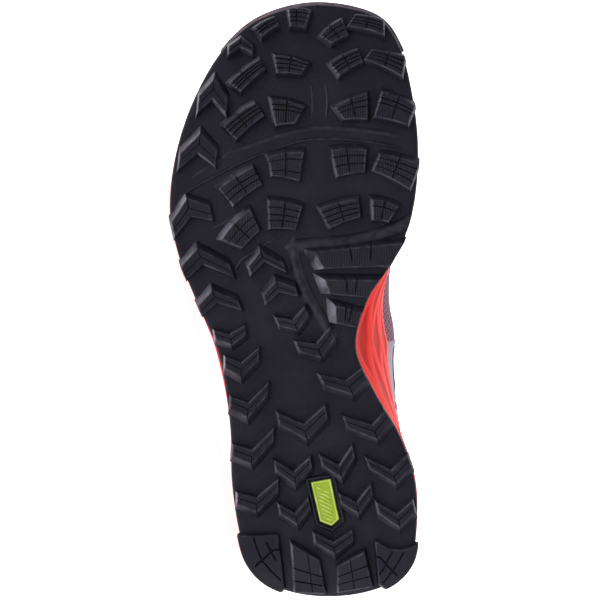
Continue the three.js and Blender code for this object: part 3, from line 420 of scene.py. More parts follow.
def newGroup(name, inputs, outputs):
    group = bpy.data.node_groups.new(name, "ShaderNodeTree")
    for label, kind, value in inputs:
        socket = group.interface.new_socket(label, in_out="INPUT", socket_type="NodeSocket" + kind)
        if value is not None:
            socket.default_value = value
    for label, kind in outputs:
        group.interface.new_socket(label, in_out="OUTPUT", socket_type="NodeSocket" + kind)
    return group, group.nodes.new("NodeGroupInput").outputs, group.nodes.new("NodeGroupOutput")


def makeGrainGroup():  # small lumps and slow colour drift
    group, given, out = newGroup("surfaceGrain", [("Scale", "Float", 900.0), ("Drift", "Float", 18.0)],
                                 [("Height", "Float"), ("Tone", "Float")])
    place = addNode(group, "ShaderNodeTexCoord").outputs["Object"]
    fine = addNode(group, "ShaderNodeTexNoise", {"Vector": place, "Scale": given["Scale"], "Detail": 4.0})
    slow = addNode(group, "ShaderNodeTexNoise", {"Vector": place, "Scale": given["Drift"], "Detail": 6.0})
    group.links.new(fine.outputs["Fac"], out.inputs["Height"])
    group.links.new(slow.outputs["Fac"], out.inputs["Tone"])
    return group


def makeWearHighlightGroup():  # paler edges, partly real wear and partly painted highlight, broken up by noise
    group, given, out = newGroup(
        "wearAndHighlightEdges",
        [("Color", "Color", None), ("Worn And Lit Color", "Color", None), ("Edge", "Float", 0.0),
         ("Amount", "Float", 1.0), ("Scale", "Float", 220.0)],
        [("Color", "Color"), ("Mask", "Float")])
    place = addNode(group, "ShaderNodeTexCoord").outputs["Object"]
    noise = addNode(group, "ShaderNodeTexNoise", {"Vector": place, "Scale": given["Scale"], "Detail": 5.0})
    broken = addNode(group, "ShaderNodeMapRange", {"Value": noise.outputs["Fac"], 1: 0.36, 2: 0.62})
    rubbedAndLit = calc(group, "MULTIPLY", given["Edge"], broken.outputs[0])
    mask = calc(group, "MULTIPLY", rubbedAndLit, given["Amount"], True)
    group.links.new(mixColors(group, mask, given["Color"], given["Worn And Lit Color"]), out.inputs["Color"])
    group.links.new(mask, out.inputs["Mask"])
    return group


def makeWeaveGroup():  # crossing threads with small gaps between them
    group, given, out = newGroup(
        "clothWeave",
        [("Vector", "Vector", None), ("Pitch", "Float", 1.6), ("Turn", "Float", 0.785)],
        [("Height", "Float"), ("Gap", "Float")])
    turned = addNode(group, "ShaderNodeVectorRotate", {"Vector": given["Vector"], "Angle": given["Turn"]},
                     rotation_type="Z_AXIS")
    axes = addNode(group, "ShaderNodeSeparateXYZ", {0: turned.outputs[0]})
    phases = [calc(group, "MULTIPLY", calc(group, "DIVIDE", axes.outputs[k], given["Pitch"]), math.pi)
              for k in range(2)]
    waves = [calc(group, "SINE", phase) for phase in phases]
    turns = [calc(group, "SINE", calc(group, "MULTIPLY", phase, 2.0)) for phase in phases]
    threads = [calc(group, "ABSOLUTE", wave) for wave in waves]
    over = calc(group, "MULTIPLY", turns[0], turns[1])
    upper = calc(group, "MAXIMUM", threads[0], threads[1])
    height = calc(group, "ADD", upper, calc(group, "MULTIPLY", over, 0.35))
    gap = calc(group, "SUBTRACT", 1.0, upper)
    sharpGap = calc(group, "MULTIPLY", gap, 2.6, True)
    group.links.new(height, out.inputs["Height"])
    group.links.new(sharpGap, out.inputs["Gap"])
    return group


def makeRibGroup():  # fine parallel moulded ribs
    group, given, out = newGroup(
        "fineRibs",
        [("Vector", "Vector", None), ("Pitch", "Float", 1.1), ("Turn", "Float", 0.0)],
        [("Height", "Float")])
    turned = addNode(group, "ShaderNodeVectorRotate", {"Vector": given["Vector"], "Angle": given["Turn"]},
                     rotation_type="Z_AXIS")
    axes = addNode(group, "ShaderNodeSeparateXYZ", {0: turned.outputs[0]})
    wave = calc(group, "SINE", calc(group, "MULTIPLY", calc(group, "DIVIDE", axes.outputs[0], given["Pitch"]),
                                    2 * math.pi))
    group.links.new(calc(group, "MULTIPLY", calc(group, "ADD", wave, 1.0), 0.5), out.inputs["Height"])
    return group


def makeDustGroup():  # a thin uneven film
    group, given, out = newGroup(
        "dustFilm",
        [("Color", "Color", None), ("Dust Color", "Color", None), ("Amount", "Float", 0.2),
         ("Scale", "Float", 60.0)],
        [("Color", "Color"), ("Mask", "Float")])
    place = addNode(group, "ShaderNodeTexCoord").outputs["Object"]
    noise = addNode(group, "ShaderNodeTexNoise", {"Vector": place, "Scale": given["Scale"], "Detail": 8.0,
                                                  "Roughness": 0.65})
    spread = addNode(group, "ShaderNodeMapRange", {"Value": noise.outputs["Fac"], 1: 0.42, 2: 0.78})
    mask = calc(group, "MULTIPLY", spread.outputs[0], given["Amount"], True)
    group.links.new(mixColors(group, mask, given["Color"], given["Dust Color"]), out.inputs["Color"])
    group.links.new(mask, out.inputs["Mask"])
    return group


grainGroup = makeGrainGroup()
wearHighlightGroup = makeWearHighlightGroup()
weaveGroup = makeWeaveGroup()
ribGroup = makeRibGroup()
dustGroup = makeDustGroup()


def fillGroup(tree, group, inputs):
    return addNode(tree, "ShaderNodeGroup", inputs, node_tree=group).outputs


def wearAndHighlight(tree, color, paler, mask, amount, scale):  # paler where a mask marks rubbed edges and painted edge highlights
    return fillGroup(tree, wearHighlightGroup, {"Color": color, "Worn And Lit Color": paler, "Edge": maskOf(tree, mask),
                                       "Amount": amount, "Scale": scale})["Color"]


def dust(tree, color, dustColor, amount, scale):
    return fillGroup(tree, dustGroup, {"Color": color, "Dust Color": dustColor, "Amount": amount,
                                       "Scale": scale})["Color"]


def scaled(tree, value, by, plus):
    return calc(tree, "ADD", calc(tree, "MULTIPLY", value, by), plus)


def newMaterial(name, **constants):
    material = bpy.data.materials.new(name)
    material.use_nodes = True
    tree = material.node_tree
    shader = tree.nodes["Principled BSDF"]
    for key, value in constants.items():
        shader.inputs[key].default_value = value
    return material, tree, shader.inputs


def maskOf(tree, name):
    return addNode(tree, "ShaderNodeAttribute", attribute_name=name).outputs["Fac"]


def cloth(tree):
    return addNode(tree, "ShaderNodeUVMap", uv_map="cloth").outputs["UV"]


def raised(tree, shader, height, strength, distance):
    bump = addNode(tree, "ShaderNodeBump", {"Height": height, "Strength": strength, "Distance": distance})
    tree.links.new(bump.outputs["Normal"], shader["Normal"])


# Floor, backdrop and lights
studio = {"floor": "F4F4F5", "overhead": 13.0, "front": 0.9, "behind": 60.0, "side": 1.8, "air": 0.08,
          "glow": 0.92}


def makeFloor():
    half, back, rise, curve = 6.0, 3.5, 5.0, 1.5
    profile = [(-half, 0.0), (back - curve, 0.0)]
    profile += [(back - curve + curve * math.sin(a), curve - curve * math.cos(a))
                for a in np.linspace(0.1, math.pi / 2, 12)]
    profile.append((back, rise))
    points = [(side * half, y, z) for y, z in profile for side in (-1, 1)]
    faces = [(2 * k, 2 * k + 1, 2 * k + 3, 2 * k + 2) for k in range(len(profile) - 1)]
    mesh = bpy.data.meshes.new("studioFloor")
    mesh.from_pydata(points, [], faces)
    mesh.polygons.foreach_set("use_smooth", [True] * len(faces))
    floor = newObject("studioFloor", mesh)
    material, tree, shader = newMaterial("paleFloor", Roughness=0.85)
    shader["Specular IOR Level"].default_value = 0.2
    grain = fillGroup(tree, grainGroup, {"Scale": 60.0, "Drift": 0.7})
    tree.links.new(mixColors(tree, grain["Tone"], studio["floor"], "EEEEF1"), shader["Base Color"])
    shader["Emission Color"].default_value = linear("FFFFFF")
    shader["Emission Strength"].default_value = studio["glow"]
    mesh.materials.append(material)


def makeLight(name, place, target, width, height, power, color=(1, 1, 1)):
    data = bpy.data.lights.new(name, "AREA")
    data.shape = "RECTANGLE"
    data.size, data.size_y, data.energy, data.color = width, height, power, color
    light = bpy.data.objects.new(name, data)
    aim = (Matrix.Translation(target).to_translation() - Matrix.Translation(place).to_translation())
    light.location = place
    light.rotation_mode = "QUATERNION"
    light.rotation_quaternion = aim.to_track_quat("-Z", "Y")
    bpy.context.collection.objects.link(light)


makeFloor()
makeLight("overheadBox", (0.2, -0.3, 1.5), (0, 0, 0), 1.4, 1.4, studio["overhead"])
makeLight("backdropBox", (0, 1.4, 2.4), (0, 1.6, 0), 3.0, 2.0, studio["behind"])
makeLight("frontBox", (-0.9, -1.3, 0.75), (0, -0.05, 0.05), 0.8, 0.8, studio["front"])
makeLight("sideBox", (1.1, -0.9, 0.5), (0, -0.05, 0.05), 0.6, 0.9, studio["side"])
world = bpy.data.worlds.new("studioAir")
world.use_nodes = True
world.node_tree.nodes["Background"].inputs["Color"].default_value = (0.80, 0.88, 1.0, 1.0)
world.node_tree.nodes["Background"].inputs["Strength"].default_value = studio["air"]
bpy.context.scene.world = world
bpy.context.scene.view_settings.view_transform = "Standard"
print("studio ready")


# Materials of the sole
def makeRubber():
    material, tree, shader = newMaterial("outsoleRubber", Roughness=0.5)
    shader["Specular IOR Level"].default_value = 0.26
    grain = fillGroup(tree, grainGroup, {"Scale": 1500.0, "Drift": 30.0})
    base = mixColors(tree, grain["Tone"], "100E19", "171525")
    # painted shade: lug tops are darkened, fully on forefoot blocks and less on heel blocks
    topsPaintedDarker = mixColors(tree, calc(tree, "MULTIPLY", maskOf(tree, "top"), 0.35), base, "0B0A12")
    # painted shade: sipes, grooves and the recess round the badge are darkened in colour through the groove
    # mask
    dark = mixColors(tree, maskOf(tree, "groove"), topsPaintedDarker, "08080C")
    dusty = dust(tree, dark, "3A3844", 0.2, 55.0)
    # paler lug and sheet edges: partly wear, partly painted highlight
    wornAndLit = wearAndHighlight(tree, dusty, "4C4A56", "edge", 0.5, 260.0)
    # painted highlight: outward-facing lug flanks are painted pale through the side mask
    rubbedAndLit = wearAndHighlight(tree, wornAndLit, "A29FAC", "side", 0.8, 90.0)
    tree.links.new(rubbedAndLit, shader["Base Color"])
    gloss = scaled(tree, grain["Tone"], 0.28, 0.34)
    tree.links.new(gloss, shader["Roughness"])
    ribs = fillGroup(tree, ribGroup, {"Vector": cloth(tree), "Pitch": 1.15, "Turn": 0.0})
    hatch = calc(tree, "MULTIPLY", ribs["Height"], calc(tree, "MULTIPLY", maskOf(tree, "top"), 0.4))
    raised(tree, shader, calc(tree, "ADD", hatch, calc(tree, "MULTIPLY", grain["Height"], 0.7)), 0.5, 0.00035)
    return material


def makeFoam():
    material, tree, shader = newMaterial("coralFoam", Roughness=0.5)
    shader["Specular IOR Level"].default_value = 0.12
    grain = fillGroup(tree, grainGroup, {"Scale": 700.0, "Drift": 22.0})
    base = mixColors(tree, grain["Tone"], "E6271E", "EC3127")
    # painted shade: carved channels are darkened in colour through the groove mask
    deep = mixColors(tree, maskOf(tree, "groove"), base, "BE2625")
    # paler crests and rim: partly wear, partly painted highlight
    wornAndLit = wearAndHighlight(tree, deep, "F0574B", "edge", 0.4, 120.0)
    dusty = dust(tree, wornAndLit, "D98A80", 0.05, 40.0)
    tree.links.new(dusty, shader["Base Color"])
    tree.links.new(scaled(tree, grain["Height"], 0.3, 0.34), shader["Roughness"])
    raised(tree, shader, grain["Height"], 0.35, 0.0003)
    return material


def makeLime():
    material, tree, shader = newMaterial("limeRubber", Roughness=0.45)
    grain = fillGroup(tree, grainGroup, {"Scale": 1100.0, "Drift": 90.0})
    base = mixColors(tree, grain["Tone"], "AFC632", "BFD543")
    # painted shade: the grooves round and between the ribs are darkened in colour
    deep = mixColors(tree, maskOf(tree, "groove"), base, "56641E")
    # paler rims and rib crests: partly wear, partly painted highlight
    wornAndLit = wearAndHighlight(tree, deep, "D5E480", "edge", 0.7, 300.0)
    tree.links.new(wornAndLit, shader["Base Color"])
    tree.links.new(scaled(tree, grain["Tone"], 0.25, 0.32), shader["Roughness"])
    raised(tree, shader, grain["Height"], 0.3, 0.0002)
    return material


rubber, foam, lime = makeRubber(), makeFoam(), makeLime()

# Outsole: a rubber sheet with moulded ridges, wedge blocks and arrow lugs
tread = {"rise": 4.8, "draft": 0.9, "ramp": 3.0, "steep": 0.5, "bevel": 0.45, "sipe": 0.6, "sipeDepth": 0.9,
         "sipeSlope": 0.12, "overhang": 0.7, "heelOverhang": 0.9, "heelReach": 1.25, "waistTrim": 0.9,
         "armEnd": 0.8, "edgeStrip": 0.5, "bow": -0.7, "heelHatch": 0.25, "fineGrid": (104, 112)}
blocks = [  # station, side, turn, front and rear width, outer and inner depth, long sipes, cross sipe
    (0.963, 0.079, 4, 0.103, 0.070, 0.100, 0.104, (0.26, 0.5, 0.76), 0.62),
    (0.948, 0.209, -34, 0.112, 0.096, 0.068, 0.060, (0.36, 0.70), 0.5),
    (0.937, -0.069, -36, 0.139, 0.084, 0.076, 0.096, (0.34, 0.68), 0.5),
    (0.953, -0.205, 14, 0.120, 0.165, 0.076, 0.080, (0.30, 0.56, 0.82), 0.52),
    (0.868, 0.283, -41, 0.173, 0.145, 0.077, 0.064, (0.28, 0.54, 0.80), 0.6),
    (0.883, 0.113, 9, 0.161, 0.103, 0.094, 0.072, (0.26, 0.54, 0.84), 0.5),
    (0.889, -0.117, -30, 0.142, 0.122, 0.082, 0.077, (0.24, 0.50, 0.78), 0.5),
    (0.892, -0.278, 20, 0.140, 0.180, 0.066, 0.098, (0.26, 0.54, 0.80), 0.48),
    (0.794, 0.299, -39, 0.172, 0.158, 0.096, 0.080, (0.30, 0.58, 0.82), 0.55),
    (0.806, 0.128, 5, 0.156, 0.085, 0.130, 0.091, (0.60, 0.82), 0.5),
    (0.812, -0.141, -14, 0.158, 0.101, 0.075, 0.124, (0.52, 0.78), 0.48),
    (0.812, -0.312, 19, 0.152, 0.150, 0.128, 0.100, (0.58, 0.78), 0.5),
    (0.686, 0.310, -34, 0.177, 0.152, 0.110, 0.093, (0.30, 0.62), 0.48),
    (0.719, 0.132, 0, 0.160, 0.117, 0.094, 0.138, (0.26, 0.76), 0.48),
    (0.726, -0.128, -5, 0.154, 0.120, 0.130, 0.108, (0.38, 0.74), 0.55),
    (0.714, -0.314, 21, 0.170, 0.180, 0.089, 0.130, (0.30, 0.56, 0.80), 0.5),
    (0.611, 0.305, -46, 0.190, 0.108, 0.108, 0.110, (0.34, 0.66), 0.5),
    (0.637, 0.138, 7, 0.151, 0.113, 0.134, 0.115, (0.28, 0.50, 0.78), 0.5),
    (0.642, -0.095, -17, 0.176, 0.140, 0.108, 0.091, (0.26, 0.52, 0.80), 0.5),
    (0.644, -0.262, 13, 0.128, 0.070, 0.105, 0.089, (0.70,), 0.5),
]
archBars = [  # as above, with the shares where short cross sipes stand, and how strong the painted highlight on the flank is
    (0.570, -0.158, -4, 0.406, 0.322, 0.086, 0.108, (0.36, 0.60), 0.75),
    (0.520, -0.132, 3, 0.274, 0.210, 0.072, 0.092, (0.44, 0.62), 0.65),
    (0.472, -0.118, 14, 0.170, 0.112, 0.088, 0.080, (0.46, 0.64), 0.5),
]
heelBlocks = [  # corners in mm: rear inner, rear outer, front outer, front inner, and the sipes
    ([(-3.9, 3.0), (11.2, 3.8), (12.6, 28.3), (-0.9, 20.0)], (0.24, 0.52), (0.40,)),
    ([(-25.6, 6.6), (-9.0, 3.6), (-8.4, 17.1), (-21.4, 24.4)], (0.30, 0.62), (0.52,)),
]
edgeBlocks = [  # along the heel's edge: places round the shoe, ends of the inner side, sag, and sipes in mm
    ((0.0444, 0.1196), ((15.9, 6.3), (18.9, 31.1)), 0.0,
     [[(29.5, 29.9), (28.1, 25.5), (25.6, 19.6), (21.6, 14.8), (17.4, 10.6)],
      [(23.5, 27.8), (21.6, 24.0), (19.5, 20.1)],
      [(28.7, 17.1), (25.6, 19.8), (21.4, 23.8), (20.1, 24.7), (18.0, 24.7)]]),
    ((0.9475, 0.8882), ((-28.5, 8.6), (-26.6, 28.2)), 3.3,
     [[(-34.1, 23.6), (-32.1, 19.8), (-30.0, 15.5), (-28.5, 13.2)],
      [(-39.2, 23.2), (-37.3, 19.4), (-34.8, 15.5), (-30.2, 9.2)],
      [(-27.5, 21.5), (-29.3, 20.5), (-31.2, 18.0), (-34.1, 15.0), (-36.4, 12.7)]]),
]
arrows = [  # station and side of the point, offsets to the outer and inner arm, depth
    (0.930, 0.314, (0.050, -0.058), (-0.048, -0.050), 0.045),
    (0.863, 0.420, (0.066, -0.108), (-0.050, -0.112), 0.085),
    (0.773, 0.474, (0.088, -0.118), (-0.062, -0.104), 0.085),
    (0.666, 0.530, (0.056, -0.130), (-0.098, -0.062), 0.078),
    (0.584, 0.486, (0.066, -0.112), (-0.138, -0.094), 0.072),
    (0.515, 0.428, (0.050, -0.088), (-0.112, -0.064), 0.058),
    (0.580, 0.232, (0.044, -0.084), (-0.098, -0.072), 0.050),
    (0.530, 0.170, (0.046, -0.078), (-0.084, -0.046), 0.050),
    (0.447, 0.081, (0.086, 0.040), (-0.034, 0.082), 0.050),
    (0.403, -0.016, (0.101, 0.046), (-0.042, 0.101), 0.062),
    (0.342, -0.142, (0.130, 0.063), (-0.055, 0.092), 0.066),
    (0.268, 0.044, (0.117, 0.089), (-0.077, 0.113), 0.066),
    (0.268, -0.243, (0.136, 0.075), (-0.062, 0.126), 0.066),
    (0.194, 0.089, (0.085, 0.081), (-0.061, 0.093), 0.056),
    (0.205, -0.097, (0.085, 0.073), (-0.045, 0.110), 0.056),
    (0.195, -0.318, (0.120, 0.089), (-0.052, 0.097), 0.062),
    (0.128, 0.081, (0.077, 0.069), (-0.045, 0.089), 0.052),
    (0.146, -0.166, (0.077, 0.065), (-0.050, 0.102), 0.052),
    (0.123, -0.332, (0.093, 0.085), (-0.055, 0.089), 0.060),
    (0.080, -0.069, (0.085, 0.070), (-0.070, 0.078), 0.052),
    (0.423, 0.348, (0.072, 0.045), (-0.054, 0.064), 0.048),
    (0.370, 0.310, (0.068, 0.065), (-0.070, 0.098), 0.062),
    (0.304, 0.284, (0.070, 0.065), (-0.081, 0.118), 0.062),
    (0.227, 0.268, (0.078, 0.061), (-0.088, 0.122), 0.062),
    (0.149, 0.246, (0.082, 0.057), (-0.085, 0.110), 0.062),
]
badgeCorners = [(0.198, 0.029), (0.204, -0.052), (0.137, -0.087), (0.126, -0.056), (0.1335, -0.008)]
ridges = [  # moulded ridges on the sheet: points across and along, width, height
    ([(64, 184), (61, 189), (40, 200.5), (24, 207.5), (4, 213.5), (-19, 213), (-43, 209)], 1.6, 0.8),
    ([(60, 195), (41, 206.5), (22, 214), (2, 219), (-22, 218), (-40, 215)], 2.6, 0.5),
    ([(16, 163.5), (4, 165), (-10, 166), (-24, 168.5), (-38, 173.5), (-50, 179)], 7.0, 1.6),
    ([(11.5, 170), (10.4, 158), (7.2, 147), (2.0, 137), (-3.6, 128), (-8, 119)], 6.0, 1.4),
    ([(3.2, 240), (2.4, 231), (3.2, 222)], 1.5, 0.6),
    ([(-3.4, 240), (-4.4, 231), (-3.6, 222)], 1.5, 0.6),
    ([(40, 150), (35, 158), (26, 164), (20, 168)], 2.2, 0.6),
    ([(50, 172), (40, 177), (29, 186)], 2.0, 0.5),
]


def grown(polygon, distances):  # each edge moved outward by its own distance
    count = len(polygon)
    runs = np.roll(polygon, -1, 0) - polygon
    runs = unit(runs)
    outs = sideways(runs)
    starts = polygon + outs * np.resize(np.asarray(distances, float), count)[:, None]
    corners = []
    for k in range(count):
        before, after = runs[k - 1], runs[k]
        gap = starts[k] - starts[k - 1]
        cross = before[0] * after[1] - before[1] * after[0]
        corners.append(starts[k - 1] + before * (gap[0] * after[1] - gap[1] * after[0]) / cross)
    return np.array(corners)


def areaOf(polygon):
    x, y = polygon.T
    return 0.5 * float(np.sum(x * np.roll(y, -1) - y * np.roll(x, -1)))


def grooveNodes(places, length, width):  # nodes from 0 to 1, and which of them lie in a groove
    half, slope = width / length / 2, width / length * 0.22
    strip = min(tread["edgeStrip"] / length, 0.1)
    marks = [(0, 0), (strip, 0), (1 - strip, 0), (1, 0)]
    for place in places:
        marks += [(place - half, 0), (place - half + slope, 1), (place + half - slope, 1), (place + half, 0)]
    marks = sorted(m for m in marks if 0 <= m[0] <= 1)
    filled = [marks[0]]
    for mark in marks[1:]:
        gap = mark[0] - filled[-1][0]
        extra = int(gap * length / 1.6) if not (mark[1] and filled[-1][1]) else 0
        filled += [(filled[-1][0] + gap * (k + 1) / (extra + 1), 0) for k in range(extra)] + [mark]
    nodes = np.array(filled)
    return nodes[:, 0], nodes[:, 1]


def panelPoints(corners, u, v):  # corners at (0,0), (1,0), (1,1), (0,1)
    a, b = u[:, None, None], v[None, :, None]
    return ((1 - a) * (1 - b) * corners[0] + a * (1 - b) * corners[1] + a * b * corners[2]
            + (1 - a) * b * corners[3])


def skirtShape(rings, heights, edge, shares, depths):  # the flank below one edge of a lug
    count = len(rings[0])
    rows = []
    for ring, height in zip(rings, heights):
        t = shares[:, None]
        flat = ring[edge] * (1 - t) + ring[(edge + 1) % count] * t
        rows.append(spatial(flat, height + depths * max(1 - height / tread["rise"], 0)))
    points = np.stack(rows, 1)
    edgeMask = np.zeros(points.shape[:2])
    edgeMask[:, 0:2] = 1.0
    edgeMask[:, 2] = 0.25
    # sipe ends on the flank are marked for painted shade
    groove = np.zeros(points.shape[:2])
    groove[:, :2] = (depths > 0.1)[:, None]
    # painted highlight: flanks that face the outer side are marked in the side mask and painted paler
    run = rings[2][(edge + 1) % count] - rings[2][edge]
    facing = run[1] / np.linalg.norm(run)
    side = np.array([0.3, 1.0, 1.0, 0.5])[None] * max(facing, 0) ** 2
    return gridShape(points, masks={"edge": edgeMask * (1 - groove), "groove": groove, "side": side})


everyPlace = slice(None)
openSides = {"v0": (everyPlace, 0), "u1": (-1, everyPlace), "v1": (everyPlace, -1), "u0": (0, everyPlace)}


def lugShapes(tip, slopes, panels, hatch=1.0):  # the top and the flanks of a lug
    bevel = tread["bevel"]
    rings = [grown(tip, [-bevel]), grown(tip, [-0.3 * bevel]), grown(tip, [0.0]), grown(tip, slopes)]
    heights = [0.0, 0.3 * bevel, bevel, tread["rise"]]
    rings[2] = tip + (rings[3] - tip) * bevel / tread["rise"]
    shapes = []
    for panel in panels:
        corners = [rings[0][k] for k in panel["corners"]]
        u, v, depth = panel["u"], panel["v"], panel["depth"]
        points = spatial(panelPoints(corners, u, v), depth)
        strip = np.zeros(depth.shape)
        for side in panel["open"]:
            strip[openSides[side]] = 1.0
        # the top mask carries the hatch texture and the painted shade on lug tops; the groove mask paints
        # shade into sipes
        masks = {"edge": strip * (depth < 0.1), "groove": (depth > 0.1) * 1.0, "top": (depth < 0.1) * hatch}
        shapes.append(gridShape(points, uv=points[..., :2], masks=masks))
        for edge, side, reverse in panel["edges"]:
            shares, depths = {"v0": (u, depth[:, 0]), "u1": (v, depth[-1]), "v1": (u, depth[:, -1]),
                              "u0": (v, depth[0])}[side]
            if reverse:
                shares, depths = 1 - shares[::-1], depths[::-1]
            shapes.append(skirtShape(rings, heights, edge, shares, depths))
    return shapes


def blockPanels(polygon, longSipes, crossSipe, crossFrom=0.0):
    width = np.linalg.norm(polygon[1] - polygon[0])
    depth = np.linalg.norm(polygon[3] - polygon[0])
    u, inCross = grooveNodes([crossSipe] if np.isscalar(crossSipe) else list(crossSipe), width, tread["sipe"])
    v, inLong = grooveNodes(list(longSipes), depth, tread["sipe"])
    cross = inCross[:, None] * (v[None, :] > crossFrom)
    deep = np.maximum(cross, inLong[None, :] * np.ones(len(u))[:, None]) * tread["sipeDepth"]
    return [{"corners": (0, 1, 2, 3), "u": u, "v": v, "depth": deep, "open": ("v0", "u1", "v1", "u0"),
             "edges": [(0, "v0", False), (1, "u1", False), (2, "v1", True), (3, "u0", True)]}]


def blockPolygon(row):
    at, side, turn, front, rear, outer, inner = row[:7]
    angle = math.radians(turn)
    across = np.array((math.cos(angle), math.sin(angle)))
    ahead = np.array((-math.sin(angle), math.cos(angle)))
    center = np.array((side * sole["width"], at * sole["length"]))
    half = sole["width"] / 2
    return np.array([center - across * rear * half - ahead * inner * half,
                     center + across * rear * half - ahead * outer * half,
                     center + across * front * half + ahead * outer * half,
                     center - across * front * half + ahead * inner * half])


def arrowShapes(row):
    at, side, outer, inner, depth = row
    point = np.array((side * sole["width"], at * sole["length"]))
    ends = [point + np.array(outer) * sole["width"], point + np.array(inner) * sole["width"]]
    inward = (ends[0] + ends[1]) / 2 - point
    inward = unit(inward)
    long = depth * sole["width"]
    half = long * tread["armEnd"] / 2

    def polygonFrom(first, second):
        return np.array([point, first - inward * half, first + inward * half, point + inward * long,
                         second + inward * half, second - inward * half])

    tip = polygonFrom(*ends)
    if areaOf(tip) < 0:
        tip = polygonFrom(*ends[::-1])
    slopes = [tread["ramp"], tread["draft"], tread["steep"], tread["steep"], tread["draft"], tread["ramp"]]
    panels = []
    for corners, edges in (((0, 1, 2, 3), [(0, "v0", False), (1, "u1", False), (2, "v1", True)]),
                           ((0, 5, 4, 3), [(5, "v0", True), (4, "u1", True), (3, "v1", False)])):
        arm = np.linalg.norm(tip[corners[1]] - tip[0])
        u, _ = grooveNodes([], arm, tread["sipe"])
        u = np.unique(np.concatenate([u, [0.18 * tread["sipe"] / arm, 0.5 * tread["sipe"] / arm]]))
        v, inLong = grooveNodes([0.56], long, tread["sipe"])
        inPoint = (u <= 0.2 * tread["sipe"] / arm)[:, None] * (v <= 0.56)[None, :]
        deep = np.maximum(inLong[None, :] * np.ones(len(u))[:, None], inPoint) * tread["sipeDepth"]
        panels.append({"corners": corners, "u": u, "v": v, "depth": deep, "open": ("v0", "u1", "v1"),
                       "edges": edges})
    return tip, lugShapes(tip - tip.mean(0), slopes, panels, 0.0)


denseAround = np.linspace(0, 1, 1500, endpoint=False)
denseEdge, denseNormal = outlinePoint(denseAround), outlineNormal(denseAround)


def trimmed(points, overhang):  # lugs end a little outside the sheet's edge, and not at the inner waist
    near = np.linalg.norm(points[:, None, :2] - denseEdge[None], axis=-1).argmin(1)
    normal = denseNormal[near]
    outside = ((points[:, :2] - denseEdge[near]) * normal).sum(1)
    tipHeight = points[:, 2] - groundRise(points[:, 1])
    at = points[:, 1] / sole["length"]
    waist = smooth((-points[:, 0] - 10) / 6) * smooth((at - 0.22) / 0.06) * smooth((0.6 - at) / 0.04)
    bevel = tread["bevel"] * np.clip(1 - tipHeight / tread["bevel"], 0, 1)
    limit = overhang - tread["waistTrim"] * waist - bevel
    excess = np.maximum(outside - limit, 0)
    points[:, :2] -= normal * excess[:, None]
    return points


def placeLug(shapes, center, flankHighlight=0.35, overhang=tread["overhang"]):
    slope = float(groundRise(center[1] + 1) - groundRise(center[1] - 1)) / 2
    angle = math.atan(slope)
    cosine, sine = math.cos(angle), math.sin(angle)
    for shape in shapes:
        x, y, z = shape["points"].T
        turned = np.stack([x, y * cosine - z * sine, y * sine + z * cosine], 1)
        placed = turned + (center[0], center[1], float(groundRise(center[1])))
        shape["points"] = trimmed(placed, overhang)
        # the painted flank highlight is strongest towards the outer side and weaker inward
        if "side" in shape["masks"]:
            outer = smooth((shape["points"][:, 0] - 18) / 26)
            shape["masks"]["side"] = shape["masks"]["side"] * (flankHighlight + (1 - flankHighlight) * outer)
    return shapes


def blockShapes(row, slopes, panels, bow=0.0, flankHighlight=0.35):
    polygon = blockPolygon(row)
    tip = grown(polygon, [-s / 2 for s in slopes])
    center = tip.mean(0)
    shapes = lugShapes(tip - center, slopes, panels(tip))
    angle, half = math.radians(row[2]), (row[3] + row[4]) / 4 * sole["width"]
    for shape in shapes:
        across = (shape["points"][:, :2] @ (math.cos(angle), math.sin(angle))) / half
        shape["points"][:, :2] -= np.outer(bow * (1 - across ** 2), (-math.sin(angle), math.cos(angle)))
    return placeLug(shapes, center, flankHighlight)


def sheetShape():
    columns = np.concatenate([[0.0008], np.linspace(0.004, 0.496, 230), [0.4992]])
    low, high = sole["lug"], sole["lug"] + sole["sheet"]
    rim = [(0.0, high), (0.0, low + 0.8), (0.15, low + 0.4), (0.45, low + 0.12), (0.9, low)]

    def inside(around, inset):
        return outlinePoint(around) - outlineNormal(around) * inset

    outer, inner = inside(columns, 1.2), inside(1 - columns, 1.2)
    across = [outer * (1 - share) + inner * share for share in np.linspace(0, 1, 72)[1:-1]]
    flat = np.stack([inside(columns, inset) for inset, _ in rim] + across
                    + [inside(1 - columns, inset) for inset, _ in rim[::-1]], 1)
    rimHeights = [height for _, height in rim]
    rimEdges = [1.0 if 0 < inset < 0.9 else 0.0 for inset, _ in rim]
    heights = np.array(rimHeights + [low] * len(across) + rimHeights[::-1])
    edges = np.array(rimEdges + [0.0] * len(across) + rimEdges[::-1])
    points = spatial(flat, groundRise(flat[..., 1]) + heights)
    return gridShape(points, loop=True, masks={"edge": edges[None] * 0.6, "groove": 0.0})


def ridgeShape(points, width, height):
    knots = np.array(points, float)
    place = np.linspace(0, len(knots) - 1, 14 * len(knots))
    keys = np.arange(len(knots))
    path = np.stack([along(keys, knots[:, 0], place), along(keys, knots[:, 1], place)], 1)
    run = np.gradient(path, axis=0)
    run = unit(run)
    across = sideways(run)
    taper = smooth(np.minimum(place, place[-1] - place) / 0.5)
    spans = np.linspace(-1, 1, 9)
    reach = (spans * width / 2)[None, :, None] * (0.3 + 0.7 * taper[:, None, None])
    flat = path[:, None] + across[:, None] * reach
    rise = height * taper[:, None] * (1 - spans ** 2)[None]
    points = spatial(flat, groundRise(flat[..., 1]) + sole["lug"] - rise + 0.05)
    # the crest of each ridge gets the edge mask, painted paler: partly wear, partly painted highlight
    return gridShape(points, masks={"edge": (1 - np.abs(spans))[None] * 0.6, "groove": 0.0})


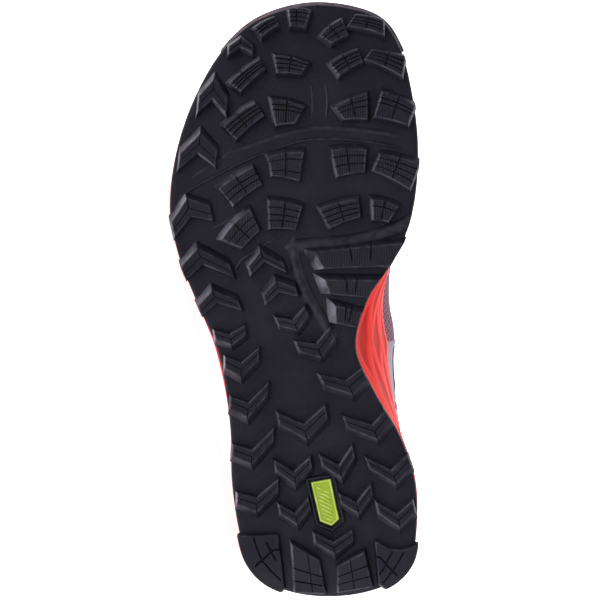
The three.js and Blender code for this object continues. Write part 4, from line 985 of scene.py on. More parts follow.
def badgePolygon(growth):
    corners = np.array([(side * sole["width"], at * sole["length"]) for at, side in badgeCorners])
    if areaOf(corners) < 0:
        corners = corners[::-1]
    return grown(corners, [growth])


def polygonShape(rings, heights, edges, grooves, fill=True):  # stacked polygon rings, the last filled
    count = len(rings[0])
    points = np.stack([spatial(ring, np.full(count, height)) for ring, height in zip(rings, heights)], 1)
    masks = {"edge": np.array(edges, float)[None], "groove": np.array(grooves, float)[None]}
    shape = gridShape(points, closed=True, masks=masks)
    if fill:
        withFaces(shape, [[k * len(rings) + len(rings) - 1 for k in range(count)]])
    return shape


def edgeBlockShapes(arounds, side, sag, sipes):
    u, v = (np.linspace(0, 1, count) for count in tread["fineGrid"])
    u, v = u[:, None, None], v[None, :, None]
    places = arounds[0] + (arounds[1] - arounds[0]) * v[..., 0]
    outer = outlinePoint(places) + outlineNormal(places) * tread["heelOverhang"]
    inner = np.array(side[0]) * (1 - v) + np.array(side[1]) * v
    flat = inner * (1 - u) + outer * u
    flat[..., 1] -= (4 * sag * u * (1 - u) * v ** 2)[..., 0]
    nearest = np.full(flat.shape[:2], np.inf)
    for line in sipes:
        for start, end in zip(line, line[1:]):
            run = np.subtract(end, start)
            share = np.clip(((flat - start) @ run) / (run @ run), 0, 1)[..., None]
            nearest = np.minimum(nearest, np.linalg.norm(flat - start - run * share, axis=-1))
    slope = tread["sipeSlope"]
    depth = tread["sipeDepth"] * smooth((tread["sipe"] / 2 + slope - nearest) / (2 * slope))
    rim = np.zeros(depth.shape)
    rim[0], rim[-1], rim[:, 0], rim[:, -1] = 1.0, 1.0, 1.0, 1.0
    cut = (depth > 0.1) * 1.0
    top = spatial(flat, groundRise(flat[..., 1]) + depth)
    masks = {"edge": rim * (1 - cut), "groove": cut, "top": tread["heelHatch"] * (1 - cut)}
    shapes = [gridShape(top, uv=flat, masks=masks)]
    loops = [np.concatenate([grid[:, 0], grid[-1, 1:], grid[::-1, -1][1:], grid[0, ::-1][1:-1]])
             for grid in (flat, depth)]
    run = np.roll(loops[0], -1, 0) - np.roll(loops[0], 1, 0)
    out = sideways(run) / np.linalg.norm(run, axis=1, keepdims=True)
    out *= np.sign(areaOf(loops[0]))
    rows = []
    for reach, height in ((0.0, 0.0), (0.25, 0.14), (0.4, 0.5), (1.3, tread["rise"])):
        ring = loops[0] + out * reach
        deep = loops[1] * max(1 - height / tread["rise"], 0)
        rows.append(spatial(ring, groundRise(loops[0][:, 1]) + height + deep))
    points = trimmed(np.stack(rows, 1).reshape(-1, 3), tread["heelReach"]).reshape(-1, 4, 3)
    points[:, 0, :2] = loops[0]
    edge = np.array([1.0, 1.0, 0.25, 0.0])[None] * (1 - (loops[1] > 0.1))[:, None]
    return shapes + [gridShape(points, closed=True, masks={"edge": edge, "groove": 0.0})]


def makeOutsole():
    shapes = [sheetShape()] + [ridgeShape(*ridge) for ridge in ridges]
    for shape in shapes[1:]:
        shape["points"] = trimmed(shape["points"], 0.0)
    toeRamp = [tread["steep"], tread["draft"], tread["ramp"], tread["draft"]]
    heelRamp = [1.2, tread["draft"], tread["steep"], tread["draft"]]
    for row in blocks:
        shapes += blockShapes(row, toeRamp, lambda tip: blockPanels(tip, row[7], row[8]), tread["bow"])
    for row in archBars:
        bar = [tread["steep"], 4.6, tread["ramp"], tread["draft"]]
        shapes += blockShapes(row, bar, lambda tip: blockPanels(tip, (), row[7], 0.34), flankHighlight=row[8])
    for corners, longSipes, crossSipes in heelBlocks:
        tip = grown(np.array(corners), [-0.35])
        panels = blockPanels(tip, longSipes, crossSipes)
        lug = lugShapes(tip - tip.mean(0), heelRamp, panels, tread["heelHatch"])
        shapes += placeLug(lug, tip.mean(0), overhang=tread["heelReach"])
    for row in edgeBlocks:
        shapes += edgeBlockShapes(*row)
    for row in arrows:
        tip, parts = arrowShapes(row)
        shapes += placeLug(parts, tip.mean(0))
    face = sole["lug"] - 2.0
    border = [badgePolygon(growth) for growth in (2.8, 2.1, 1.8, 1.35, 1.1, 0.95, 0.0)]
    base = sole["lug"]
    heights = [base + 0.2, face + 0.35, face, face, face + 0.25, base + 0.2, base + 0.4]
    # the groove marks paint shade into the recess round the badge
    edges, grooves = [0, 0.3, 0.3, 0.3, 0.2, 0, 0], [0, 0, 0, 0, 0.6, 1, 1]
    shapes.append(polygonShape(border, heights, edges, grooves, fill=False))
    makePiece("tread_rubber", shapes, rubber, ("outsole",))


makeOutsole()


# Badge: a bare lime plaque with plain slanted ribs
def badgeRib(start, end, face, width=0.85, rise=0.5):  # one rounded rib between two places
    run = (end - start) / np.linalg.norm(end - start)
    across = np.array([-run[1], run[0]])
    lengthwise, crosswise = np.linspace(0, 1, 14), np.linspace(-1, 1, 7)
    flat = (start + (end - start) * lengthwise[:, None, None]
            + across * (crosswise * width / 2)[None, :, None])
    dome = np.minimum(np.sqrt(np.maximum(1 - (2 * lengthwise - 1) ** 8, 0))[:, None]
                      * np.sqrt(1 - crosswise ** 2)[None], 1)
    points = spatial(flat, groundRise(flat[..., 1]) + face + 0.4 - rise * dome)
    # rib feet are marked for painted shade, and rib crests are painted paler
    return gridShape(points, masks={"edge": dome, "groove": 0.4 * (1 - dome)})


def makeBadge():
    face = sole["lug"] - 2.0 + 0.7
    border = [badgePolygon(growth) for growth in (0.0, -0.1, -0.4, -0.85, -1.15, -1.5)]
    shapes = [polygonShape(border, [face + 2, face + 0.3, face, face, face + 0.35, face + 0.35],
                           [0, 1, 1, 1, 0, 0], [0.5, 0, 0, 0, 0.5, 0.3])]
    field = badgePolygon(-1.9)
    low, high = field[:, 1].min(), field[:, 1].max()
    for y in np.arange(low + 1.4, high - 0.9, 1.75):
        lean = 0.45
        crossings = []
        for first, second in zip(field, np.roll(field, -1, 0)):
            rises = [point[1] - lean * point[0] - y for point in (first, second)]
            if rises[0] * rises[1] < 0:
                crossings.append(first + (second - first) * rises[0] / (rises[0] - rises[1]))
        if len(crossings) == 2 and np.linalg.norm(crossings[1] - crossings[0]) > 1.5:
            shapes.append(badgeRib(crossings[0], crossings[1], face))
    makePiece("badge_plaque", shapes, lime, ("heel_badge",))


makeBadge()


# Midsole: foam with crossing sculpted ribs
midsole = {"columns": 520, "rows": 56, "ribDepth": 0.65, "ribs": 3.0, "cross": 5.5}


def sculpt(around, share):  # how deep the carved channels are at a place on the side
    at = outlinePoint(around)[..., 1] / sole["length"]
    first = np.sin(2 * math.pi * (share * midsole["ribs"] + at * midsole["cross"]))
    second = np.sin(2 * math.pi * (share * midsole["ribs"] - at * midsole["cross"] * 0.8 + 0.3))
    crest = np.maximum(first, second * 0.9)
    fade = smooth(share / 0.12) * smooth((1 - share) / 0.12)
    calm = 1 - 0.85 * smooth((at - 0.80) / 0.08)
    return (1 - smooth((crest + 0.3) / 1.1)) * fade * calm


def makeMidsole():
    around = np.linspace(0, 1, midsole["columns"], endpoint=False)[:, None]
    share = np.linspace(0, 1, midsole["rows"])[None]
    carve = sculpt(around, share)
    tucked = -0.3 + 0.85 * smooth(share / 0.2)
    wall = sidePoint(around, share, tucked - midsole["ribDepth"] * carve)
    inner = [footPoint(around[:, 0], inset, above) for inset, above in
             ((0.35, 6.3), (0.9, 6.45), (sole["rimWidth"] - 0.9, 6.45), (sole["rimWidth"] - 0.3, 6.25),
              (sole["rimWidth"], 5.8), (sole["rimWidth"], 0.0))]
    points = np.concatenate([wall, np.stack(inner, 1)], 1)
    # painted shade: the carved channels are marked in the groove mask and coloured darker
    groove = np.zeros(points.shape[:2])
    groove[:, :midsole["rows"]] = carve
    # the crests between channels and the rim's top get the edge mask and are painted paler
    edge = np.zeros(points.shape[:2])
    edge[:, :midsole["rows"]] = smooth((0.25 - carve) / 0.25) * 0.35
    edge[:, midsole["rows"]:midsole["rows"] + 3] = 0.6
    shapes = [gridShape(points, closed=True, uv=clothCoordinates(points, True, 10),
                        masks={"groove": groove, "edge": edge})]
    for ring, flip in ((points[:, 0], False), (points[:, -1], True)):
        count = len(ring)
        shares = np.linspace(0, 1, 24)[:, None, None]
        half = count // 2
        left = ring[:half + 1]
        right = ring[[(count - k) % count for k in range(half + 1)]]
        grid = (left * (1 - shares) + right * shares).transpose(1, 0, 2)
        shapes.append(gridShape(grid, masks={"groove": 0.0, "edge": 0.0}, flip=flip))
    makePiece("foam_midsole", shapes, foam, ("midsole",), sharp=60)


makeMidsole()


# Materials of the upper
def makeWoven(name, threads, dark, pitch, turn, depth=0.00045):
    material, tree, shader = newMaterial(name, Roughness=0.8)
    shader["Specular IOR Level"].default_value = 0.25
    shader["Sheen Weight"].default_value = 0.15
    weave = fillGroup(tree, weaveGroup, {"Vector": cloth(tree), "Pitch": pitch, "Turn": turn})
    grain = fillGroup(tree, grainGroup, {"Scale": 900.0, "Drift": 26.0})
    yarn = mixColors(tree, grain["Tone"], threads[0], threads[1])
    woven = mixColors(tree, weave["Gap"], yarn, dark)
    dusty = dust(tree, woven, "C9C0C6", 0.12, 35.0)
    tree.links.new(dusty, shader["Base Color"])
    tree.links.new(scaled(tree, weave["Gap"], 0.15, 0.72), shader["Roughness"])
    height = calc(tree, "ADD", weave["Height"], calc(tree, "MULTIPLY", grain["Height"], 0.4))
    raised(tree, shader, height, 0.6, depth)
    return material


def makeFilm(name, first, second, wornAndLit, gloss=0.5):
    material, tree, shader = newMaterial(name, Roughness=gloss)
    shader["Specular IOR Level"].default_value = 0.25
    grain = fillGroup(tree, grainGroup, {"Scale": 1200.0, "Drift": 34.0})
    base = mixColors(tree, grain["Tone"], first, second)
    # paler patch edges: partly wear, partly painted highlight
    rubbedAndLit = wearAndHighlight(tree, base, wornAndLit, "edge", 0.55, 180.0)
    dusty = dust(tree, rubbedAndLit, "A79FA6", 0.1, 45.0)
    tree.links.new(dusty, shader["Base Color"])
    tree.links.new(scaled(tree, grain["Height"], 0.25, gloss - 0.12), shader["Roughness"])
    raised(tree, shader, grain["Height"], 0.4, 0.00025)
    return material


meshCloth = makeWoven("mauveMesh", ("9A6F80", "84596C"), "4E3946", 1.9, 0.785)
liningCloth = makeWoven("lilacLining", ("9C90A2", "8E8394"), "6A6070", 1.3, 0.0)
insoleCloth = makeWoven("insoleCloth", ("A59AA6", "978B99"), "7E7482", 1.0, 0.4)
laceCloth = makeWoven("coralLace", ("E25F5A", "D24F4C"), "A93C3C", 0.9, 0.785, depth=0.0003)
threadCloth = makeWoven("stitchThread", ("C9BEC8", "B8ABB8"), "8C8190", 0.35, 0.6, depth=0.0001)
trimFilm = makeFilm("darkTrim", "453C46", "504651", "7C7080")
bumperFilm = makeFilm("plumBumper", "4A404B", "554A56", "7E727E", 0.45)
greyFilm = makeFilm("greyBand", "918A9C", "9D96A8", "C2BCC8", 0.55)
blackFilm = makeFilm("blackBand", "07070A", "0C0B10", "2A272E", 0.6)
paleFilm = makeFilm("paleBand", "B5AAB8", "C0B6C2", "DCD5DC", 0.5)


# Sheets, patches and stitches that lie on the upper
def slabShape(outer, inner, closed=False, masks=None):
    points = np.concatenate([outer, inner[:, ::-1]], 1)
    ring = np.concatenate([points, points[:, :1]], 1)
    uv = clothCoordinates(ring, closed, outer.shape[1] // 2)
    shape = gridShape(points, closed=closed, loop=True, uv=uv, masks=masks)
    if not closed:
        total = points.shape[1]
        withFaces(shape, [[base + k, base + k + 1, base + total - 2 - k, base + total - 1 - k]
                          for base in (0, (len(points) - 1) * total) for k in range(outer.shape[1] - 1)])
    return shape


def roundedRun(start, end, edge, count, turns):  # places that lie closer together at both rounded ends
    into = edge * (1 - np.cos(np.linspace(0, math.pi / 2, turns)))
    middle = np.linspace(start + edge, end - edge, count)[1:-1]
    return np.concatenate([start + into, middle, end - into[::-1]])


def roundedSteps(length, edge, spacing):  # places from 0 to 1 with a rounded edge at both ends, and heights
    turn = np.linspace(0, math.pi / 2, 5)
    share = min(edge / max(length, 0.1), 0.35)
    count = max(int(length * (1 - 2 * share) / spacing), 2)
    places = roundedRun(0, 1, share, count + 1, len(turn))
    heights = np.concatenate([np.sin(turn), np.ones(count - 1), np.sin(turn[::-1])])
    return places, heights


def patchShape(first, last, low, high, thick, lift=0.05, edge=0.9, spacing=2.0, point=upperPoint, sink=0.15,
               ridge=0.0):
    middle = (first + last) / 2
    run = point(np.linspace(first, last, 40), (low(middle) + high(middle)) / 2, np.zeros(40))
    length = stepLengths(run).sum()
    climb = point(middle, np.linspace(low(middle), high(middle), 20), np.zeros(20))
    height = stepLengths(climb).sum()
    acrossSteps, acrossHeights = roundedSteps(length, edge, spacing)
    upSteps, upHeights = roundedSteps(height, edge, spacing)
    arounds = first + (last - first) * acrossSteps
    lows = np.array([low(a) for a in arounds])[:, None]
    highs = np.array([high(a) for a in arounds])[:, None]
    shares = lows + (highs - lows) * upSteps
    full = np.minimum(acrossHeights[:, None], upHeights[None])
    lines = ridge * np.sin(upSteps * height * 2 * math.pi / 4.0)[None] ** 2 * full
    outer = point(arounds[:, None], shares, lift + thick * full + lines)
    inner = point(arounds[:, None], shares, np.full(shares.shape, -sink))
    rim = np.where(full < 0.995, 1.0, 0.0)
    masks = {"edge": np.concatenate([rim, 0 * rim], 1)}
    return slabShape(outer, inner, masks=masks)


def stitchShape(start, end, normal, width=0.7, rise=0.35):
    run = end - start
    side = unit(np.cross(normal, run))
    lengthwise, crosswise = np.linspace(0, 1, 6), np.linspace(-1, 1, 4)
    dome = (np.sqrt(np.maximum(1 - (2 * lengthwise - 1) ** 4, 0))[:, None]
            * np.sqrt(1 - 0.9 * crosswise ** 2)[None])
    points = (start + run * lengthwise[:, None, None] + side * (crosswise * width / 2)[None, :, None]
              + normal * (rise * dome)[..., None])
    uv = np.stack(np.broadcast_arrays(lengthwise[:, None] * 2.4, crosswise[None] * width / 2), -1)
    return gridShape(points, uv=uv, masks={"edge": 0.0})


def stitchLine(first, last, share, gap, pitch=3.0):  # a row of stitches along the upper
    fine = np.linspace(first, last, 400)
    shares = np.array([share(a) for a in fine[::8]])
    shares = np.interp(fine, fine[::8], shares)
    path = upperPoint(fine, shares, np.full(400, gap))
    covered = travelled(path)
    marks = np.arange(pitch, covered[-1] - pitch, pitch)
    shapes = []
    for mark in marks:
        ends = [np.array([np.interp(mark + shift, covered, path[:, k]) for k in range(3)])
                for shift in (-0.36 * pitch, 0.36 * pitch)]
        around = np.interp(mark, covered, fine)
        normal = upperNormal(around, min(float(np.interp(mark, covered, shares)), 0.99))
        shapes.append(stitchShape(*ends, normal))
    return shapes


lacing = {"rows": 6, "radius": 2.3, "inset": 7.0, "stayWidth": 14.0, "stayThick": 1.2, "margin": 1.2,
          "width": 5.0, "thick": 1.3, "crossLift": 1.7, "endDepth": -2.8, "narrow": 0.52, "narrowRun": 3.5,
          "hidden": 2.2, "steps": 72}
eyeletArounds = np.linspace(aroundOf(0.93), aroundOf(0.47), lacing["rows"])
eyelets = [(around, belowTop(around, lacing["inset"])) for side in (eyeletArounds, 1 - eyeletArounds)
           for around in side]


def axesRound(normal):  # two directions square to a normal
    side = unit(np.cross(normal, (0, 1, 0)))
    return side, np.cross(normal, side)


def ringShape(center, normal, radius, thick, rise):  # a flat rounded ring round a hole
    side, other = axesRound(normal)
    turn = np.linspace(0, 2 * math.pi, 33)[:-1, None]
    roll = np.linspace(0, 2 * math.pi, 11)[:-1][None]
    out = radius + thick / 2 * np.cos(roll)
    points = (center + side * (np.cos(turn) * out)[..., None] + other * (np.sin(turn) * out)[..., None]
              + normal * (rise * np.sin(roll) + 0 * turn)[..., None])
    return gridShape(points, closed=True, loop=True, masks={"edge": 0.3})


def pierceHoles(piece, radius):
    shapes = []
    for around, share in eyelets:
        center, normal = upperPoint(around, share, 0.0), upperNormal(around, share)
        side, other = axesRound(normal)
        turn = np.linspace(0, 2 * math.pi, 25)[:-1, None, None]
        wall = center + (side * np.cos(turn) + other * np.sin(turn)) * radius
        points = np.concatenate([wall + normal * reach for reach in (-5, 5)], 1)
        shape = gridShape(points, closed=True)
        shape["faces"] += [list(range(0, 48, 2)), list(range(1, 48, 2))]
        shapes.append(shape)
    points, faces = joined(shapes)
    mesh = bpy.data.meshes.new("holeCutter")
    mesh.from_pydata(toRow(points).tolist(), [], faces)
    tidyMesh(mesh, 0.001, 30)
    cutter = newObject("holeCutter", mesh)
    cut = piece.modifiers.new("holes", "BOOLEAN")
    cut.operation, cut.solver, cut.object = "DIFFERENCE", "EXACT", cutter
    shaped = evaluated(piece)
    piece.modifiers.clear()
    piece.data = shaped
    bpy.data.objects.remove(cutter)
    print("holes cut in", piece.name, len(shaped.polygons), "faces")


def crease(around, share):  # soft creases where the forefoot bends
    at = outlinePoint(around)[..., 1] / sole["length"]
    where = smooth((at - 0.56) / 0.08) * smooth((0.78 - at) / 0.08) * smooth((share - 0.3) / 0.2) \
        * smooth((0.97 - share) / 0.15)
    return 0.55 * where * np.sin(2 * math.pi * (at * 17 + share * 1.3)) * np.cos(3 * math.pi * share)


def makeUpper():
    arounds = np.linspace(0, 1, 360, endpoint=False)[:, None]
    shares = np.concatenate([np.linspace(0, rib["rim"], 4), np.linspace(rib["rim"], rib["bulge"], 9)[1:],
                             np.linspace(rib["bulge"], 0.993, 36)[1:], [0.998, 1.0]])[None]
    soft = crease(arounds, shares)
    gaps = np.zeros(soft.shape)
    gaps[:, -2:] = (-0.12, -0.5)
    outer = upperPoint(arounds, shares, soft + gaps)
    inner = upperPoint(arounds, shares, soft - upperSizes["wall"] - gaps)
    shapes = [slabShape(outer, inner, closed=True)]
    piece = makePiece("cloth_upper", shapes, meshCloth, ("upper",), sharp=60)
    pierceHoles(piece, lacing["radius"])


def makeStay():
    first, last = aroundOf(0.455), aroundOf(0.455, True)

    def low(around):
        return belowTop(around, lacing["stayWidth"])

    def high(around):
        return belowTop(around, lacing["margin"] * 0.4)

    shapes = [patchShape(first, last, low, high, lacing["stayThick"], spacing=1.8)]
    piece = makePiece("lace_stay", shapes, trimFilm, ("eyestay",), sharp=50)
    pierceHoles(piece, lacing["radius"])
    details = [ringShape(upperPoint(around, share, lacing["stayThick"] + 0.1), upperNormal(around, share),
                         lacing["radius"] + 0.55, 1.3, 0.42) for around, share in eyelets]
    makePiece("eyelet_rings", details, blackFilm, (), sharp=60)
    stitches = []
    for below in (lacing["stayWidth"] - 2.0, 2.6):
        stitches += stitchLine(first + 0.004, last - 0.004, lambda a: belowTop(a, below),
                               lacing["stayThick"] + 0.02)
    makePiece("stay_stitches", stitches, threadCloth, (), sharp=60)


def makeHeelShell():
    reach = aroundOf(0.235)

    def high(around):
        return 0.66 - 0.3 * float(smooth(abs(around) / reach))

    shapes = [patchShape(-reach, reach, lambda a: 0.13, high, 1.2, spacing=2.0, edge=1.1)]
    makePiece("heel_shell", shapes, trimFilm, ("heel_counter",), sharp=50)
    stitches = stitchLine(-reach + 0.006, reach - 0.006, lambda a: high(a) - 0.035, 1.24)
    makePiece("heel_stitches", stitches, threadCloth, (), sharp=60)


sideBands = [  # name, first and last station, film, thickness, lowest share, distance from the top edge
    ("grey_band", 0.306, 0.424, greyFilm, 0.45, 0.125, 13.0),
    ("black_band", 0.318, 0.398, blackFilm, 0.8, 0.305, 16.0),
    ("front_piping", 0.542, 0.549, greyFilm, 0.35, 0.125, 13.0),
    ("rear_piping", 0.290, 0.297, paleFilm, 0.5, 0.22, 12.0),
]
bandSlant = {"lean": 0.060, "taper": 0.45, "from": 0.18, "curve": 1.6, "topShare": 0.8}


def makeSideBands():  # thin films on the waist of the upper, which lean forward and narrow towards the laces
    for name, start, end, film, thick, low, top in sideBands:
        shapes = []
        for inner in (False, True):
            places = sorted((aroundOf(start, inner), aroundOf(end, inner)))
            middle = (places[0] + places[1]) / 2
            ahead = -bandSlant["lean"] if inner else bandSlant["lean"]

            def slid(around, share):
                climb = np.maximum(np.asarray(share, float) - bandSlant["from"], 0) ** bandSlant["curve"]
                fromMiddle = np.asarray(around, float) - middle
                return middle + fromMiddle * (1 - bandSlant["taper"] * climb) + ahead * climb

            def point(around, share, gap):
                return upperPoint(slid(around, share), share, gap)

            def high(around):
                return belowTop(float(slid(around, bandSlant["topShare"])), top)

            shapes.append(patchShape(places[0], places[1], lambda a: low, high, thick, spacing=1.6, edge=0.8,
                                     point=point))
        makePiece(name, shapes, film, (), sharp=50)


def guardPoint(around, place, gap):  # place 0 to 1 climbs the midsole's side, 1 to 2 the toe of the upper
    around, place, gap = spread(around, place, gap)
    side = sidePoint(around, np.clip(place, 0, 1) * 0.97 + 0.03, gap + 0.1)
    cloth = upperPoint(around, np.clip(place - 1, 0, 1), gap)
    blendIn = smooth((place - 0.97) / 0.16)[..., None]
    return side * (1 - blendIn) + cloth * blendIn


def makeToeGuard():
    first, last = aroundOf(0.905), aroundOf(0.905, True)
    reach = 0.5 - first

    def high(around):
        return 1.42 - 0.85 * float(smooth(abs(around - 0.5) / reach)) ** 1.5

    def low(around):
        return 0.02 + 0.2 * float(smooth((0.49 - around) / 0.03))

    shapes = [patchShape(first, last, low, high, 1.2, spacing=1.4, edge=0.8, point=guardPoint, ridge=0.35)]
    makePiece("toe_guard", shapes, bumperFilm, ("toe_bumper",), sharp=50)


makeUpper()
makeStay()
makeHeelShell()
makeSideBands()
makeToeGuard()


def domed(share):  # quarter of a circle, 1 at share 0 and 0 at share 1
    return np.sqrt(np.clip(1 - np.clip(share, 0, 1) ** 2, 0, 1))


# Padded pieces inside the upper. A coarse copy of each is blown up as cloth, and the piece follows it
padding = {"voxel": 0.0045, "pressure": 4.0, "frames": 20}


def puffUp(piece, cap, held):  # held is 1 for points that seams hold down
    copy = newObject("padCopy", piece.data.copy())
    coarse = copy.modifiers.new("coarse", "REMESH")
    coarse.mode, coarse.voxel_size = "VOXEL", padding["voxel"]
    mesh = evaluated(copy)
    copy.modifiers.clear()
    copy.data = mesh
    rest = np.zeros(len(mesh.vertices) * 3)
    mesh.vertices.foreach_get("co", rest)
    puff = copy.modifiers.new("puff", "CLOTH")
    puff.settings.use_pressure = True
    puff.settings.uniform_pressure_force = padding["pressure"]
    puff.settings.effector_weights.gravity = 0.0
    puff.point_cache.frame_end = padding["frames"]
    for frameNumber in range(1, padding["frames"] + 1):
        bpy.context.scene.frame_set(frameNumber)
    blown = evaluated(copy)
    after = np.zeros(len(blown.vertices) * 3)
    blown.vertices.foreach_get("co", after)
    rest, after = rest.reshape(-1, 3), after.reshape(-1, 3)
    move = after - rest
    far = np.linalg.norm(move, axis=1, keepdims=True)
    move *= np.minimum(1.0, cap / np.maximum(far, 1e-9))
    bpy.data.objects.remove(copy)
    bpy.context.scene.frame_set(1)
    tree = KDTree(len(rest))
    for index, place in enumerate(rest):
        tree.insert(place, index)
    tree.balance()
    own = np.zeros(len(piece.data.vertices) * 3)
    piece.data.vertices.foreach_get("co", own)
    own = own.reshape(-1, 3)
    loose = np.zeros(len(own))
    piece.data.attributes[held].data.foreach_get("value", loose)
    for index, place in enumerate(own):
        near = tree.find_n(place, 6)
        weights = np.array([1 / (distance + 0.001) for _, _, distance in near])
        shift = (move[[spot for _, spot, _ in near]] * weights[:, None]).sum(0) / weights.sum()
        own[index] = place + shift * (1 - loose[index])
    piece.data.vertices.foreach_set("co", own.ravel())
    piece.data.update()
    print("blown up", piece.name, "by up to", round(float(far.max()) * 1000, 1), "mm")


collar = {"columns": 220, "fade": 0.03, "leastPad": 0.15, "depth": 0.56, "seamAt": 0.36, "seamDepth": 0.75,
          "lip": 0.9, "lipPad": 1.4, "tuck": 0.6, "clear": 0.35, "extra": 0.9, "swelling": 0.0012}


def makeCollarPad():
    start, end = aroundOf(0.47, True) - 1, aroundOf(0.47)
    arounds = np.linspace(start, end, collar["columns"])[:, None]
    rows = np.linspace(0, 1, 18)[None]
    ends = smooth((arounds - start) / collar["fade"]) * smooth((end - arounds) / collar["fade"])
    pad = np.maximum(padShare(arounds), collar["leastPad"]) * ends
    turn = np.linspace(-0.45 * math.pi, 0.5 * math.pi, 9)[None]
    wall = upperSizes["wall"]
    thick = wall + 0.5 + upperSizes["pad"] * pad
    roll = thick / 2 + 0.15
    outerRoll = upperPoint(arounds, np.ones(turn.shape), -thick / 2 + 0.1 + roll * np.cos(turn))
    crown = upperPoint(arounds, np.ones(turn.shape), np.zeros((1, 1)))
    climb = crown - upperPoint(arounds, np.full(turn.shape, 0.97), np.zeros((1, 1)))
    climb = unit(climb)
    lip = (collar["lip"] + collar["lipPad"] * pad)[..., None]
    over = lip * climb * (np.sin(turn) * (np.sin(turn) > 0))[..., None]
    back = -collar["tuck"] * climb * ((np.sin(turn) < 0) * -np.sin(turn))[..., None]
    front = outerRoll + over + back
    shares = 1 - collar["depth"] * rows
    puff = np.sin(math.pi * np.clip(rows * 1.02, 0, 1)) ** 0.6
    seam = 1 - collar["seamDepth"] * np.exp(-((rows - collar["seamAt"]) / 0.035) ** 2)
    swell = (upperSizes["pad"] + collar["extra"]) * pad * puff * seam
    inside = upperPoint(arounds, shares, -(wall + collar["clear"] + swell))
    outside = upperPoint(arounds, shares, np.full(shares.shape, -wall + 0.1))
    column = np.concatenate([front, inside[:, 1:], outside[:, ::-1][:, :-1]], 1)
    ring = np.concatenate([column, column[:, :1]], 1)
    count = column.shape[1]
    held = np.ones((collar["columns"], count))
    insideRows = np.exp(-((rows[:, 1:] - collar["seamAt"]) / 0.05) ** 2) + smooth((rows[:, 1:] - 0.85) / 0.1)
    held[:, front.shape[1]:front.shape[1] + insideRows.shape[1]] = np.clip(insideRows, 0, 1)
    held[:, :front.shape[1]] = 0.6
    held = np.maximum(held, 1 - ends)
    masks = {"edge": 0.0, "held": held}
    shape = gridShape(column, loop=True, uv=clothCoordinates(ring, False, 4), masks=masks)
    withFaces(shape, [list(range(base, base + count)) for base in (0, (len(column) - 1) * count)])
    piece = makePiece("collar_pad", [shape], liningCloth, (), sharp=60)
    puffUp(piece, collar["swelling"], "held")


makeCollarPad()

tongue = {
    "station": [0.715, 0.660, 0.610, 0.560, 0.510, 0.460, 0.415, 0.380, 0.358],
    "side": [0.032, 0.030, 0.026, 0.020, 0.014, 0.008, 0.002, -0.002, -0.004],
    "height": [0.512, 0.566, 0.680, 0.830, 0.975, 1.105, 1.215, 1.345, 1.435],
    "half": [0.105, 0.170, 0.225, 0.235, 0.215, 0.170, 0.168, 0.164, 0.130],
    "fall": [0.012, 0.040, 0.085, 0.115, 0.110, 0.080, 0.080, 0.072, 0.050],
    "full": [0.5, 0.6, 0.7, 0.8, 0.9, 1.0, 1.3, 1.5, 1.1],
    "thick": 5.0, "edge": 0.05, "underStay": 1.5, "channel": 0.9, "quilt": 0.35, "swelling": 0.0022,
}


def tonguePoint(row, across, depth):  # row 0 under the toe box to 8 at the free end, across -1 to 1
    row, across, depth = spread(row, across, depth)
    keys = np.arange(9)
    value = {name: along(keys, tongue[name], row) for name in ("station", "side", "height", "half", "fall")}

    def center(place):
        return np.stack([along(keys, tongue["station"], place) * sole["length"],
                         sole["heelStack"] + along(keys, tongue["height"], place) * upperSizes["height"]], -1)

    run = center(np.minimum(row + 0.05, 8)) - center(np.maximum(row - 0.05, 0))
    run = unit(run)
    sink = value["fall"] * sole["width"] * across ** 2 + depth
    place = center(row)
    y = place[..., 0] - run[..., 1] * sink
    z = place[..., 1] + run[..., 0] * sink
    return np.stack([value["side"] * sole["width"] + across * value["half"] * sole["width"], y, z], -1)


def makeTongue():
    rows = np.linspace(0, 8, 110)[:, None]
    edge = tongue["edge"]
    across = roundedRun(-1, 1, edge, 30, 6)[None]
    roundEdge = domed((np.abs(across) - (1 - edge)) / edge)
    roundEnd = domed((rows - 7.8) / 0.2) * domed((0.25 - rows) / 0.25)
    full = along(np.arange(9), tongue["full"], rows) * tongue["thick"] * (1 - 0.6 * across ** 2)
    half = full / 2 * roundEdge * roundEnd
    underStay = tongue["underStay"] * smooth((np.abs(across) - 0.45) / 0.3) * smooth((5.6 - rows) / 0.8)
    channel = np.exp(-((np.abs(across) - 0.42) / 0.035) ** 2) + np.exp(-((rows - 6.15) / 0.07) ** 2) \
        + np.exp(-((np.abs(across) - 0.86) / 0.03) ** 2)
    channel = np.clip(channel, 0, 1) * smooth((rows - 0.4) / 0.3) * smooth((7.75 - rows) / 0.1)
    puff = 0.75 * np.clip(np.cos(across * 7.2), -1, 1) * smooth((rows - 5.2) / 0.8)
    pattern = tongue["channel"] * channel - tongue["quilt"] * puff * roundEdge * roundEnd
    top = tonguePoint(rows, across, full / 2 - half + underStay + pattern)
    under = tonguePoint(rows, across, full / 2 + half + underStay)
    laced = smooth((5.8 - rows) / 0.8) * 0.7
    held = np.clip(np.maximum(channel, 1 - roundEdge * roundEnd), laced, 1)
    held = np.concatenate([held, np.maximum(held, 0.6)[:, ::-1]], 1)
    shape = slabShape(top, under, masks={"edge": 0.0, "held": held})
    piece = makePiece("tongue_pad", [shape], liningCloth, ("tongue",), sharp=70)
    puffUp(piece, tongue["swelling"], "held")


footbed = {"thick": 4.0, "lip": 3.0, "lipWidth": 7.5, "arch": 1.2, "heelDish": 0.7, "ballDish": 0.4,
           "dishWidth": 12, "edge": 0.03}


